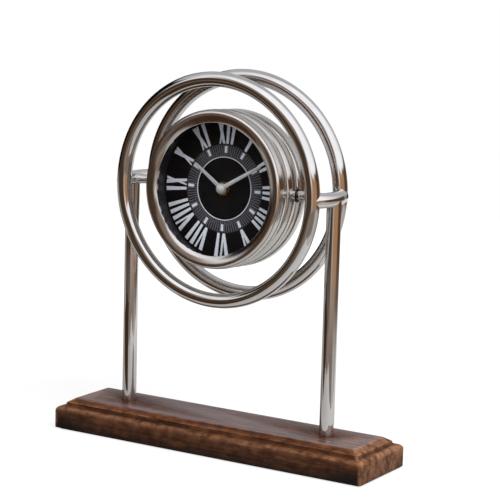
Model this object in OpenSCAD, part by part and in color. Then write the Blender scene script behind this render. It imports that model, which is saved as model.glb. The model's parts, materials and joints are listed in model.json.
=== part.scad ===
// Table clock: a drum clock that tips on two pivots between a pair of tube rings.
// The rings stand on two posts, and the posts stand on a moulded wooden base.
// Frame: +X along the base, +Y to the back, +Z up, origin on the table under the middle.

/* [Base] */
// Length of the wooden base
base_l = 330; // [290:1:400]
// Depth of the wooden base, front to back
base_w = 81; // [70:1:120]
// Height of the wooden base without its felt
base_h = 27.8; // [26:0.1:40]
// Width of the sloping bevel round the top
bevel_w = 6.2; // [4:0.1:9]
// Fall of that bevel
bevel_h = 3.9; // [2:0.1:5]
// Radius of the hollow below the bevel
cove_r = 3.2; // [2:0.1:4]
// Radius of the round edge below the hollow
roll_r = 4.5; // [2:0.1:5]
// Thickness of the felt under the base
felt_t = 1.5; // [1:0.1:3]
// How far the felt stays back from the edge of the base
felt_inset = 4; // [2:0.5:10]

/* [Posts] */
// Diameter of a post
post_d = 13.2; // [10:0.1:13.4]
// Wall of a post's tube
post_wall = 1.5; // [1:0.1:2.5]
// Depth of the socket that takes a post's foot
socket_deep = 9; // [6:0.5:12]
// Radial clearance of a post in its socket
socket_gap = 0.1; // [0.05:0.05:0.3]
// Length of the threaded plug in a post's foot
plug_l = 22; // [14:1:40]
// Diameter of the screw that holds a post
screw_d = 6; // [4:0.5:6]
// Diameter of that screw's head
screw_head_d = 11; // [9:0.5:13]
// Height of that screw's head
screw_head_h = 4; // [2:0.5:4.5]
// Reach of that screw into the plug
screw_grip = 14; // [8:1:14]
// Diameter of the washer under the screw's head
washer_d = 15; // [13:0.5:18]
// Thickness of that washer
washer_t = 1.2; // [0.8:0.1:2]
// Depth of the counterbore below the base
counterbore_deep = 8; // [7:0.5:9]

/* [Rings] */
// Height of the pivot axis, and of the rings' centre, above the table
axis_h = 241.7; // [225:0.1:320]
// Radius of a ring, to the middle of its tube
ring_r = 99.5; // [95:0.5:120]
// Diameter of a ring's tube
ring_d = 13.4; // [10:0.1:16]
// Distance between the two rings, from middle to middle
ring_gap = 49.4; // [44:0.1:70]

/* [Cross bars] */
// Diameter of a cross bar
bar_d = 13.4; // [13.2:0.1:18]
// How far a cross bar lies outside the rings' centre circle
bar_offset = 8; // [6:0.1:9]
// How far each end of a cross bar reaches over a ring's tube
bar_grip = 3; // [2:0.1:6]
// Rounding of a cross bar's ends
bar_round = 2; // [0.5:0.1:3]
// Gap left for the solder where tubes are coped together
solder_gap = 0.02; // [0.01:0.01:0.05]

/* [Pivots] */
// Diameter of a pivot pin
pin_d = 5; // [4:0.1:6]
// Length of a pin inside its cross bar
pin_grip = 9; // [6:0.5:10]
// Diameter of the sleeve between a cross bar and the drum
sleeve_d = 8.6; // [7.5:0.1:11]
// Diameter of the flange of a pivot bush
bush_flange_d = 13; // [11:0.5:14]
// Thickness of that flange
bush_flange_t = 1.2; // [0.8:0.1:2]
// Diameter of the barrel of a pivot bush
bush_d = 8; // [7:0.1:9]
// How far the barrel stands out inside the drum
bush_inside = 2; // [1:0.1:3]
// Thickness of the friction washer on a pivot
friction_t = 0.8; // [0.5:0.1:1.5]
// Diameter of the friction washer
friction_d = 12; // [10:0.5:13]
// Width of the nut on a pin's inner end, across its flats
pivot_nut_w = 8; // [7:0.5:10]
// Thickness of that nut
pivot_nut_t = 4; // [3:0.1:5]
// Length of the pin's thread that shows past the nut
thread_end = 1.5; // [0.5:0.1:3]
// Diameter of the flat seat turned into the drum for a bush
seat_d = 15; // [14.5:0.5:18]
// Depth of that seat below the edge of a band
seat_deep = 1.1; // [0.5:0.1:1.3]
// Gap between faces that rub as the drum tips
thrust_gap = 0.05; // [0.02:0.01:0.1]
// Radial running clearance of a shaft in its bore
run_gap = 0.04; // [0.02:0.01:0.08]

/* [Drum] */
// How far the drum's face is tipped up from upright, in degrees
head_tilt = 3; // [0:0.5:15]
// Distance from the pivot axis to the front of the drum
drum_front = 33.5; // [31:0.1:38]
// Width of each of the three bands round the drum
band_w = 16.6; // [15.6:0.1:18]
// Rise of a band's crown above its edges
band_rise = 2; // [0.5:0.1:3]
// Width of the groove between two bands
groove_w = 0.8; // [0.4:0.1:1.6]
// Depth of that groove
groove_deep = 0.9; // [0.3:0.1:1.2]
// Inner radius of the black liner behind the glass
liner_r = 64; // [63:0.1:70]
// Wall of that liner
liner_t = 1.5; // [1:0.1:3]
// Wall of the case's front spigot
spigot_t = 1.8; // [1.2:0.1:3]
// Wall of a band at its edge
band_wall = 2; // [1.5:0.1:4]
// Radial clearance between parts that slip into each other
slip_gap = 0.1; // [0.05:0.05:0.2]
// Inner radius of the bezel's lip
lip_r = 59.6; // [57:0.1:62]
// Thickness of the lip at its inner edge
lip_t = 2; // [1.6:0.1:3]
// How far the bezel's face falls back towards its lip
dish = 3; // [2:0.1:3.5]
// Rounding between the bezel's face and its side
face_round = 3.6; // [2:0.1:3.6]
// Thickness of the glass
glass_t = 2.5; // [1.5:0.1:3]

/* [Dial] */
// Distance from the pivot axis to the front of the dial
dial_front = 10; // [9.6:0.1:11]
// Thickness of the dial
dial_t = 1; // [0.5:0.1:1.5]
// Width of the shoulder in the case that carries the dial
shoulder_w = 4.6; // [3:0.1:6]
// Thickness of that shoulder
shoulder_t = 2; // [1:0.1:2.2]
// Inner radius of the numerals
numeral_in = 40.5; // [38.8:0.1:44]
// Outer radius of the numerals
numeral_out = 62; // [55:0.1:62.8]
// Thickness of the numerals and markers
mark_t = 0.3; // [0.2:0.05:0.5]
// Half width of a thick stroke, in degrees round the dial
thick_a = 1.75; // [1.2:0.05:2]
// Half width of a thin stroke, in degrees round the dial
thin_a = 1; // [0.4:0.05:1.3]
// Room for a single stroke, in degrees round the dial
stroke_room = 6.2; // [5:0.1:6.4]
// Room for a pair of slanting strokes, in degrees round the dial
slant_room = 9.4; // [8:0.1:10]
// Half the spread of a crossed letter at its outer end, in degrees round the dial
cross_a = 1.8; // [1:0.1:2.8]
// Radius to the middle of the hour batons
baton_r = 35.3; // [33:0.1:36]
// Length of an hour baton
baton_l = 6; // [4:0.1:7]
// Half width of an hour baton, in degrees round the dial
baton_a = 2.1; // [1:0.1:3]
// Radius of the thin circle inside the batons
circle_r = 28.4; // [26:0.1:30]
// Width of that circle's line
circle_w = 0.7; // [0.4:0.1:1.5]

/* [Hands] */
// Time shown, in minutes after twelve
shown_min = 610; // [0:1:719]
// Length of the minute hand
minute_l = 48; // [40:0.5:55]
// Length of the hour hand
hour_l = 37; // [28:0.5:40]
// Width of a hand at its hub
hand_w = 4.4; // [3:0.1:6]
// Width of a hand near its tip
hand_tip_w = 3; // [1:0.1:4]
// Length of a hand's pointed tip
hand_point = 2; // [0.5:0.1:4]
// Thickness of a hand
hand_t = 0.8; // [0.5:0.1:1.2]
// Diameter of the hour hand's hub
hour_hub_d = 13; // [9:0.5:16]
// Diameter of the minute hand's hub
minute_hub_d = 11; // [8:0.5:14]
// Diameter of the cap at the middle
cap_d = 8; // [6:0.5:10]
// Height of the cap
cap_h = 2.6; // [2:0.1:4]
// Free space between the hands
hand_gap = 1.6; // [0.6:0.1:2]

/* [Movement] */
// Side of the square movement
mov_w = 56; // [56:0.5:60]
// Depth of the movement
mov_deep = 16.4; // [16:0.1:18]
// Wall of the movement's housing
mov_wall = 1.6; // [1.2:0.1:2]
// Corner radius of the movement
mov_round = 4; // [2:0.5:6]
// Thickness of the seal between movement and dial
seal_t = 0.8; // [0.5:0.1:1.5]
// Diameter of the seal
seal_d = 20; // [14:1:26]
// Outer diameter of the threaded neck
neck_d = 8; // [7.6:0.1:9]
// Outer diameter of the hour tube
hour_tube_d = 5.6; // [5:0.1:6]
// Diameter of the minute arbor
arbor_d = 3.4; // [2.6:0.1:3.6]
// Diameter of small pivots and studs in the movement
stud_d = 1.8; // [1.4:0.1:2.2]
// Width of the dial nut across its flats
dial_nut_w = 12; // [11:0.5:14]
// Thickness of the dial nut
dial_nut_t = 2.2; // [1.5:0.1:3]
// Length of neck that shows past the dial nut
neck_end = 1; // [0.5:0.1:1.5]
// Tooth size of the minute arbor's pinion and the motion wheel
tooth_m = 0.45; // [0.42:0.01:0.45]
// Thickness of a wheel
wheel_t = 1.2; // [0.8:0.1:1.4]
// Space between a wheel and its neighbour along the axis
wheel_gap = 0.4; // [0.2:0.1:0.6]
// Diameter of the dry cell
cell_d = 14.2; // [13.8:0.1:14.5]
// Length of the dry cell
cell_l = 50.2; // [49:0.1:50.6]
// Thickness of the contact plates
contact_t = 0.5; // [0.3:0.1:0.8]
// Diameter of the setting knob
knob_d = 11; // [8:0.5:14]
// Height of the setting knob
knob_h = 4; // [3:0.5:5]

/* [Rear cover] */
// Thickness of the rear cover
cover_t = 2; // [1.5:0.1:3]
// How far the cover lies inside the rear edge of the case
cover_inset = 0.4; // [0.2:0.1:1]
// Radius of the window that shows the movement
window_r = 42; // [41:0.5:50]
// Diameter of a boss for a cover screw
boss_d = 7; // [6:0.5:9]
// Length of that boss
boss_l = 9; // [8:0.5:12]
// Diameter of a cover screw
cover_screw_d = 3; // [2:0.5:4]
// Reach of a cover screw into its boss
cover_screw_grip = 7; // [4:0.5:8]
// Diameter of a cover screw's head
cover_head_d = 5.6; // [5:0.1:8]
// Height of a cover screw's head
cover_head_h = 1.6; // [1:0.1:2.5]

/* [Hidden] */
$fn = 96;
// A cut runs this far past the face it opens
past = 1;

// Heights and places of the stand
base_top = felt_t + base_h;
bevel_z = base_h - bevel_h;
side_h = bevel_z - cove_r - roll_r;
post_x = ring_r + bar_offset;
post_foot = base_top - socket_deep;
post_bore = post_d - 2 * post_wall;
counterbore_top = felt_t + counterbore_deep;
bar_l = ring_gap - ring_d + 2 * bar_grip;

// Radii of the drum, from the liner outwards
liner_out = liner_r + liner_t;
case_bore = liner_out + slip_gap;
spigot_out = case_bore + spigot_t;
bezel_bore = spigot_out + slip_gap;
band_edge = bezel_bore + band_wall;
crown_r = band_edge + band_rise;
band_arc = (pow(band_w / 2, 2) + pow(band_rise, 2)) / (2 * band_rise);

// Depths in the drum, counted forwards from the pivot axis
drum_rear = drum_front - 3 * band_w;
bezel_rear = drum_front - band_w;
lip_front = drum_front - dish;
glass_front = lip_front - lip_t;
glass_rear = glass_front - glass_t;
dial_rear = dial_front - dial_t;
mov_front = dial_rear - seal_t;
room_front = mov_front - mov_wall;
mov_rear = mov_front - mov_deep;
lid_front = mov_rear + mov_wall;
cover_rear = drum_rear + cover_inset;
cover_front = cover_rear + cover_t;
cover_r = spigot_out;
boss_r = case_bore - boss_d / 2 + past;

// Places along the pivot axis, counted outwards from the middle of the drum
seat_x = band_edge - seat_deep;
flange_x = seat_x + bush_flange_t;
friction_x = flange_x + thrust_gap;
sleeve_x = friction_x + friction_t;
bush_end_x = case_bore - bush_inside;
pivot_nut_x = bush_end_x - thrust_gap - pivot_nut_t;
pin_in_x = pivot_nut_x - thread_end;
pin_out_x = post_x - bar_d / 2 + pin_grip;

// Wheels of the motion work: a twelve to one reduction in two steps
arbor_teeth = 12;
motion_teeth = 36;
motion_leaves = 10;
hour_teeth = 40;
setting_teeth = 12;
wheel_centres = tooth_m * (arbor_teeth + motion_teeth) / 2;
hour_tooth_m = 2 * wheel_centres / (motion_leaves + hour_teeth);
hour_wheel_front = room_front - wheel_gap;
hour_wheel_rear = hour_wheel_front - wheel_t;
motion_front = hour_wheel_rear - 2 * wheel_gap;
motion_rear = motion_front - wheel_t;
motion_pos = [0, wheel_centres];
setting_pos = [-wheel_centres, wheel_centres];

// Heights of the hands above the pivot axis
neck_front = dial_front + dial_nut_t + neck_end;
hour_hand_rear = neck_front + hand_gap / 2;
hour_hand_front = hour_hand_rear + hand_t;
minute_hand_rear = hour_hand_front + hand_gap;
minute_hand_front = minute_hand_rear + hand_t;
arbor_front = minute_hand_front + cap_h / 2;
minute_angle = 6 * (shown_min % 60);
hour_angle = shown_min / 2;

// The cell's bay is the lower part of the movement
bay_half_l = mov_w / 2 - mov_wall;
bay_floor = -mov_w / 2 + mov_wall;
bay_room = 0.6;
bay_top = bay_floor + cell_d + 2 * bay_room;
room_floor = bay_top + mov_wall;
room_top = mov_w / 2 - mov_wall;
cell_y = bay_floor + bay_room + cell_d / 2;
cell_f = room_front - cell_d / 2;
contact_side = 10;
contact_boss_d = 4.8;

// Stepping motor and board, in the right half of the movement
coil_x = 20;
coil_d = 7.6;
coil_bore = 3.4;
coil_y = [1, 20];
coil_f = room_front - coil_d / 2 - past;
stator_w = 2.5;
stator_reach = 5;
board_x = [14, 26];
board_y = [-5, 24];
board_t = 1;

wood_colour = "#5A3A28";
nickel_colour = "#B9AFA3";
satin_colour = "#A79C90";
black_colour = "#121214";
mark_colour = "#D5DAE6";
silver_colour = "#C9C9C7";
brass_colour = "#B8964E";
steel_colour = "#8E9092";
plastic_colour = "#232326";

// Helpers

// Puts a piece drawn face up (+Z to the front) into the tipped drum
module in_drum() {
    translate([0, 0, axis_h]) rotate([90 - head_tilt, 0, 0]) children();
}

// Turns a piece drawn along +Z to lie along +X
module along_x() {
    rotate([0, 90, 0]) children();
}

module on_left() {
    mirror([1, 0, 0]) children();
}

module on_both_sides() {
    children();
    on_left() children();
}

// A plain ring with its lower face at a height
module flat_ring(outer_d, inner_d, low, high) {
    translate([0, 0, low]) difference() {
        cylinder(d = outer_d, h = high - low);
        translate([0, 0, -past]) cylinder(d = inner_d, h = high - low + 2 * past);
    }
}

module rod(d, low, high) {
    translate([0, 0, low]) cylinder(d = d, h = high - low);
}

module rounded_square(side, radius) {
    square([side, side - 2 * radius], center = true);
    square([side - 2 * radius, side], center = true);
    for (x = [-1, 1], y = [-1, 1]) {
        translate([x, y] * (side / 2 - radius)) circle(radius);
    }
}

// A point on the dial, at a radius and an angle clockwise from twelve
function dial_point(r, a) = [r * sin(a), r * cos(a)];

// Base and posts

// Half of the section through the base: side, round edge, hollow, bevel, flat top
module half_section(half_w) {
    crown_x = half_w - roll_r;
    bevel_x = crown_x - cove_r;
    square([half_w, side_h]);
    translate([crown_x, side_h]) circle(roll_r);
    difference() {
        square([crown_x, bevel_z]);
        translate([crown_x, bevel_z]) circle(cove_r);
    }
    polygon([[0, 0], [bevel_x, 0], [bevel_x, bevel_z], [bevel_x - bevel_w, base_h], [0, base_h]]);
}

module base_section(w) {
    half_section(w / 2);
    mirror([1, 0]) half_section(w / 2);
}

module wood_base() {
    color(wood_colour) difference() {
        translate([0, 0, felt_t]) intersection() {
            rotate([90, 0, 90]) linear_extrude(base_l + 2 * past, center = true) base_section(base_w);
            rotate([90, 0, 0]) linear_extrude(base_w + 2 * past, center = true) base_section(base_l);
        }
        on_both_sides() translate([post_x, 0, 0]) {
            rod(post_d + 2 * socket_gap, post_foot, base_top + past);
            rod(screw_d + 2 * slip_gap, felt_t, base_top);
            rod(washer_d + 2 * slip_gap, felt_t - past, counterbore_top);
        }
    }
}

module base_felt() {
    color("#1D1D1F") translate([0, 0, felt_t / 2])
        cube([base_l - 2 * felt_inset, base_w - 2 * felt_inset, felt_t], center = true);
}

// The solid of a cross bar, before it is coped to the rings
module bar_blank() {
    bar_r = bar_d / 2;
    end = bar_l / 2;
    rotate([90, 0, 0]) rotate_extrude() {
        translate([0, -end + bar_round]) square([bar_r, bar_l - 2 * bar_round]);
        translate([0, -end]) square([bar_r - bar_round, bar_l]);
        for (side = [-1, 1]) translate([bar_r - bar_round, side * (end - bar_round)]) intersection() {
            circle(bar_round);
            translate([0, -bar_round]) square([bar_round, 2 * bar_round]);
        }
    }
}

module bar_clearance() {
    translate([post_x, 0, axis_h]) rotate([90, 0, 0])
        cylinder(d = bar_d + 2 * solder_gap, h = bar_l + 2 * past, center = true);
}

module post() {
    difference() {
        translate([post_x, 0, 0]) rod(post_d, post_foot, axis_h);
        translate([post_x, 0, 0]) rod(post_bore, post_foot - past, axis_h + past);
        bar_clearance();
        on_pivot_axis() rod(pin_d + 2 * solder_gap, pin_in_x, pin_out_x);
    }
}

module left_post() {
    color(nickel_colour) on_left() post();
}

module right_post() {
    color(nickel_colour) post();
}

module post_plugs() {
    color(steel_colour) on_both_sides() translate([post_x, 0, 0])
        flat_ring(post_bore, screw_d, post_foot, post_foot + plug_l);
}

module post_washers() {
    color(steel_colour) on_both_sides() translate([post_x, 0, 0])
        flat_ring(washer_d, screw_d, counterbore_top - washer_t, counterbore_top);
}

module post_screws() {
    head_top = counterbore_top - washer_t;
    color(steel_colour) on_both_sides() translate([post_x, 0, 0]) {
        rod(screw_d, head_top - screw_head_h / 2, post_foot + screw_grip);
        rod(screw_head_d, head_top - screw_head_h, head_top);
    }
}

// Rings and cross bars

module ring_tube(d, side) {
    translate([0, side * ring_gap / 2, axis_h]) rotate([90, 0, 0])
        rotate_extrude() translate([ring_r, 0]) circle(d = d);
}

module front_ring() {
    color(nickel_colour) ring_tube(ring_d, -1);
}

module back_ring() {
    color(nickel_colour) ring_tube(ring_d, 1);
}

// A cross bar lies against the outside of both rings, coped to their tubes
module cross_bar() {
    difference() {
        translate([post_x, 0, axis_h]) bar_blank();
        for (side = [-1, 1]) ring_tube(ring_d + 2 * solder_gap, side);
        translate([0, 0, axis_h]) along_x() rod(pin_d, pin_in_x, pin_out_x);
    }
}

module left_cross_bar() {
    color(nickel_colour) on_left() cross_bar();
}

module right_cross_bar() {
    color(nickel_colour) cross_bar();
}

// Pivots

module on_pivot_axis() {
    translate([0, 0, axis_h]) along_x() children();
}

module pivot_pin() {
    on_pivot_axis() rod(pin_d, pin_in_x, pin_out_x);
}

module left_pivot_pin() {
    color(steel_colour) on_left() pivot_pin();
}

module right_pivot_pin() {
    color(steel_colour) pivot_pin();
}

module pivot_sleeve() {
    difference() {
        on_pivot_axis() flat_ring(sleeve_d, pin_d, sleeve_x, post_x);
        bar_clearance();
        translate([post_x, 0, 0]) rod(post_d + 2 * solder_gap, post_foot, axis_h);
    }
}

module left_pivot_sleeve() {
    color(nickel_colour) on_left() pivot_sleeve();
}

module right_pivot_sleeve() {
    color(nickel_colour) pivot_sleeve();
}

module pivot_washers() {
    color(steel_colour) on_both_sides() on_pivot_axis()
        flat_ring(friction_d, pin_d, friction_x, sleeve_x);
}

module pivot_nuts() {
    color(brass_colour) on_both_sides() on_pivot_axis() translate([0, 0, pivot_nut_x]) difference() {
        cylinder(d = pivot_nut_w / cos(30), h = pivot_nut_t, $fn = 6);
        translate([0, 0, -past]) cylinder(d = pin_d, h = pivot_nut_t + 2 * past);
    }
}

module pivot_bush() {
    on_pivot_axis() difference() {
        union() {
            rod(bush_flange_d, seat_x, flange_x);
            rod(bush_d, bush_end_x, flange_x);
        }
        rod(pin_d + 2 * run_gap, bush_end_x - past, flange_x + past);
    }
}

module left_pivot_bush() {
    color(brass_colour) on_left() pivot_bush();
}

module right_pivot_bush() {
    color(brass_colour) pivot_bush();
}

// Drum

// The section of a band, from a bore out to its crowned face
module band_section(front, bore) {
    translate([bore, front - band_w]) square([band_edge - bore, band_w]);
    intersection() {
        translate([crown_r - band_arc, front - band_w / 2]) circle(band_arc);
        translate([bore, front - band_w]) square([crown_r - bore + past, band_w]);
    }
}

module groove_waste(at) {
    translate([band_edge - groove_deep, at - groove_w / 2])
        square([band_rise + groove_deep + past, groove_w]);
}

module case_section() {
    difference() {
        union() {
            band_section(bezel_rear, case_bore);
            band_section(bezel_rear - band_w, case_bore);
            translate([case_bore, bezel_rear - past])
                square([spigot_t, glass_front - bezel_rear - slip_gap + past]);
            translate([case_bore - shoulder_w, dial_rear - shoulder_t])
                square([shoulder_w + past, shoulder_t]);
        }
        translate([0, drum_rear - past]) square([cover_r + slip_gap, cover_front - drum_rear + past]);
        groove_waste(bezel_rear - band_w);
        groove_waste(bezel_rear);
    }
}

module at_cover_screws() {
    for (a = [45:90:315]) rotate([0, 0, a]) translate([boss_r, 0, 0]) children();
}

module drum_case() {
    color(satin_colour) difference() {
        in_drum() {
            rotate_extrude() case_section();
            at_cover_screws() difference() {
                rod(boss_d, cover_front + slip_gap, cover_front + boss_l);
                rod(cover_screw_d, cover_front - past, cover_front + cover_screw_grip);
            }
        }
        on_both_sides() on_pivot_axis() {
            rod(bush_d, bush_end_x - past, seat_x + past);
            rod(seat_d, seat_x, crown_r + past);
        }
    }
}

// The bezel is the front band: a rounded edge, a wide dished face and a lip that holds the glass
module bezel() {
    round_f = drum_front - face_round;
    from_crown = band_w / 2 - face_round;
    side_r = crown_r - band_arc + sqrt(pow(band_arc, 2) - pow(from_crown, 2));
    face_r = side_r - face_round;
    color(satin_colour) in_drum() difference() {
        union() {
            rotate_extrude() intersection() {
                band_section(drum_front, bezel_bore);
                translate([bezel_bore, bezel_rear]) square([crown_r - bezel_bore, round_f - bezel_rear]);
            }
            rotate_extrude() intersection() {
                translate([face_r, round_f]) circle(face_round);
                translate([face_r, round_f]) square(face_round);
            }
            rotate_extrude() polygon([
                [lip_r, glass_front], [lip_r, lip_front], [face_r, drum_front],
                [face_r + face_round / 2, round_f], [band_edge, glass_front]
            ]);
        }
        rod(2 * bezel_bore, bezel_rear - past, glass_front);
        rotate_extrude() groove_waste(bezel_rear);
    }
}

module glass() {
    color("#DCE6E8", 0.25) in_drum() rod(2 * liner_out, glass_rear, glass_front);
}

module liner_ring() {
    color(black_colour) in_drum() flat_ring(2 * liner_out, 2 * liner_r, dial_front, glass_rear);
}

module rear_cover() {
    color(satin_colour) in_drum() difference() {
        flat_ring(2 * cover_r, 2 * window_r, cover_rear, cover_front);
        at_cover_screws() rod(cover_screw_d, cover_rear - past, cover_front + past);
    }
}

module cover_screws() {
    color(steel_colour) in_drum() at_cover_screws() {
        rod(cover_screw_d, cover_rear - cover_head_h / 2, cover_front + cover_screw_grip);
        rod(cover_head_d, cover_rear - cover_head_h, cover_rear);
    }
}

// Dial

module dial() {
    color(black_colour) in_drum() flat_ring(2 * liner_out, neck_d, dial_rear, dial_front);
}

// One stroke of a numeral, from its outer to its inner end
module stroke(outer_a, inner_a, half_a) {
    polygon([
        dial_point(numeral_out, outer_a - half_a), dial_point(numeral_out, outer_a + half_a),
        dial_point(numeral_in, inner_a + half_a), dial_point(numeral_in, inner_a - half_a)
    ]);
}

function letter_room(letter) = letter == "I" ? stroke_room : slant_room;
function room_before(word, count) =
    count == 0 ? 0 : room_before(word, count - 1) + letter_room(word[count - 1]);

module letter(kind, start) {
    middle = start + letter_room(kind) / 2;
    spread = slant_room / 2 - thick_a;
    if (kind == "I") {
        stroke(middle, middle, thick_a);
    } else if (kind == "V") {
        stroke(middle - spread, middle, thick_a);
        stroke(middle + spread, middle + thick_a / 2, thin_a);
    } else {
        stroke(middle - cross_a, middle + spread, thick_a);
        stroke(middle + cross_a, middle - spread, thin_a);
    }
}

module numeral(word) {
    whole = room_before(word, len(word));
    for (i = [0:len(word) - 1]) letter(word[i], room_before(word, i) - whole / 2);
}

module dial_numerals() {
    words = ["I", "II", "III", "IIII", "V", "VI", "VII", "VIII", "IX", "X", "XI", "XII"];
    color(mark_colour) in_drum() translate([0, 0, dial_front]) linear_extrude(mark_t)
        for (i = [0:len(words) - 1]) rotate(-30 * (i + 1)) numeral(words[i]);
}

module dial_markers() {
    color(mark_colour) in_drum() {
        flat_ring(2 * circle_r + circle_w, 2 * circle_r - circle_w, dial_front, dial_front + mark_t);
        translate([0, 0, dial_front]) linear_extrude(mark_t) for (i = [1:12]) rotate(-30 * i) polygon([
            for (corner = [[-1, 1], [1, 1], [1, -1], [-1, -1]])
                dial_point(baton_r + corner[1] * baton_l / 2, corner[0] * baton_a)
        ]);
    }
}

// Wheels and hands

// Outline of a small wheel, six points to a tooth
function wheel_outline(teeth, size) = let (
    pitch = 360 / teeth,
    pitch_r = teeth * size / 2,
    tooth = [[-0.28, -1.1], [-0.2, 0], [-0.09, 0.8], [0.09, 0.8], [0.2, 0], [0.28, -1.1]]
) [
    for (i = [0:teeth - 1], corner = tooth)
        (pitch_r + corner[1] * size) * [cos((i + corner[0]) * pitch), sin((i + corner[0]) * pitch)]
];

module wheel(teeth, size, rear, front) {
    translate([0, 0, rear]) linear_extrude(front - rear) polygon(wheel_outline(teeth, size));
}

module minute_arbor() {
    color(brass_colour) in_drum() {
        wheel(arbor_teeth, tooth_m, motion_rear, motion_front);
        rod(arbor_d, motion_front - wheel_t / 2, arbor_front);
        rod(stud_d, mov_rear + mov_wall / 4, motion_rear + wheel_t / 2);
    }
}

module hour_wheel() {
    color(brass_colour) in_drum() difference() {
        union() {
            rotate(180 / hour_teeth) wheel(hour_teeth, hour_tooth_m, hour_wheel_rear, hour_wheel_front);
            rod(hour_tube_d, hour_wheel_rear, hour_hand_front);
        }
        rod(arbor_d + 2 * run_gap, hour_wheel_rear - past, hour_hand_front + past);
    }
}

module motion_wheel() {
    color(brass_colour) in_drum() translate(motion_pos) difference() {
        union() {
            rotate(180 / motion_teeth) wheel(motion_teeth, tooth_m, motion_rear, motion_front);
            rotate(180 / motion_leaves) wheel(motion_leaves, hour_tooth_m, motion_rear, hour_wheel_front);
        }
        rod(stud_d + 2 * run_gap, motion_rear - past, hour_wheel_front + past);
    }
}

// A flat tapering hand with a blunt point
module hand(length, hub_d, bore_d, rear) {
    difference() {
        union() {
            rod(hub_d, rear, rear + hand_t);
            translate([0, 0, rear]) linear_extrude(hand_t) polygon([
                [-hand_w / 2, 0], [-hand_tip_w / 2, length - hand_point], [0, length],
                [hand_tip_w / 2, length - hand_point], [hand_w / 2, 0]
            ]);
        }
        rod(bore_d, rear - past, rear + hand_t + past);
    }
}

module minute_hand() {
    color(silver_colour) in_drum() rotate(-minute_angle)
        hand(minute_l, minute_hub_d, arbor_d, minute_hand_rear);
}

module hour_hand() {
    color(silver_colour) in_drum() rotate(-hour_angle)
        hand(hour_l, hour_hub_d, hour_tube_d, hour_hand_rear);
}

// A low domed nut over the end of the minute arbor
module hand_cap() {
    dome_r = (pow(cap_d / 2, 2) + pow(cap_h, 2)) / (2 * cap_h);
    color(silver_colour) in_drum() difference() {
        intersection() {
            translate([0, 0, minute_hand_front + cap_h - dome_r]) sphere(dome_r);
            rod(cap_d, minute_hand_front, minute_hand_front + cap_h + past);
        }
        rod(arbor_d, minute_hand_front - past, arbor_front);
    }
}

module setting_arbor() {
    color(plastic_colour) in_drum() translate(setting_pos) {
        wheel(setting_teeth, tooth_m, motion_rear, motion_front);
        rod(arbor_d, mov_rear - knob_h / 2, motion_rear + wheel_t / 2);
        rod(stud_d, motion_front - wheel_t / 2, mov_front - mov_wall / 2);
    }
}

module setting_knob() {
    color(plastic_colour) in_drum() translate(setting_pos) difference() {
        rod(knob_d, mov_rear - wheel_gap - knob_h, mov_rear - wheel_gap);
        rod(arbor_d, mov_rear - knob_h / 2, mov_rear + past);
    }
}

// Movement

module movement_housing() {
    inner = mov_w - 2 * mov_wall;
    color(plastic_colour) in_drum() difference() {
        union() {
            difference() {
                translate([0, 0, lid_front]) linear_extrude(mov_front - lid_front)
                    rounded_square(mov_w, mov_round);
                translate([-bay_half_l, bay_floor, lid_front - past])
                    cube([inner, bay_top - bay_floor, room_front - lid_front + past]);
                translate([-bay_half_l, room_floor, lid_front - past])
                    cube([inner, room_top - room_floor, room_front - lid_front + past]);
            }
            rod(neck_d, mov_front - past / 2, neck_front);
            translate(motion_pos) rod(stud_d, motion_rear, mov_front - mov_wall / 2);
        }
        rod(hour_tube_d + 2 * run_gap, room_front - past, neck_front + past);
        translate(setting_pos)
            rod(stud_d + 2 * run_gap, room_front - past, mov_front - mov_wall / 2 + run_gap);
    }
}

module movement_lid() {
    color(plastic_colour) in_drum() difference() {
        union() {
            translate([0, 0, mov_rear]) linear_extrude(mov_wall) intersection() {
                rounded_square(mov_w, mov_round);
                translate([-mov_w / 2, bay_top]) square([mov_w, mov_w]);
            }
            translate(motion_pos) rod(2 * stud_d, mov_rear + mov_wall / 2, motion_rear - wheel_gap);
        }
        rod(stud_d + 2 * run_gap, mov_rear - past, lid_front + past);
        translate(setting_pos) rod(arbor_d + 2 * run_gap, mov_rear - past, lid_front + past);
    }
}

module movement_seal() {
    color(black_colour) in_drum() flat_ring(seal_d, neck_d, mov_front, dial_rear);
}

module dial_nut() {
    color(brass_colour) in_drum() translate([0, 0, dial_front]) difference() {
        cylinder(d = dial_nut_w / cos(30), h = dial_nut_t, $fn = 6);
        translate([0, 0, -past]) cylinder(d = neck_d, h = dial_nut_t + 2 * past);
    }
}

module circuit_board() {
    color("#2E5A36") in_drum() translate([board_x[0], board_y[0], lid_front])
        cube([board_x[1] - board_x[0], board_y[1] - board_y[0], board_t]);
}

// Turns a piece drawn along +Z to lie along the dial's upright
module along_upright() {
    translate([coil_x, 0, coil_f]) rotate([-90, 0, 0]) children();
}

module motor_coil() {
    color("#9A5B32") in_drum() along_upright() flat_ring(coil_d, coil_bore, coil_y[0], coil_y[1]);
}

module motor_stator() {
    color(steel_colour) in_drum() {
        along_upright() rod(coil_bore, coil_y[0] - stator_w / 2, coil_y[1] + stator_w / 2);
        for (y = [coil_y[0] - stator_w, coil_y[1]])
            translate([coil_x - stator_reach, y, coil_f - coil_bore / 2])
                cube([2 * stator_reach, stator_w, room_front - coil_f + coil_bore / 2]);
    }
}

module dry_cell() {
    color("#3C3F45") in_drum() translate([0, cell_y, cell_f]) along_x()
        rod(cell_d, -cell_l / 2, cell_l / 2);
}

module cell_contacts() {
    color(steel_colour) in_drum() on_both_sides() translate([0, cell_y, cell_f]) along_x() {
        translate([0, 0, bay_half_l - contact_t]) linear_extrude(contact_t)
            square(contact_side, center = true);
        rod(contact_boss_d, cell_l / 2, bay_half_l - contact_t / 2);
    }
}

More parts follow.
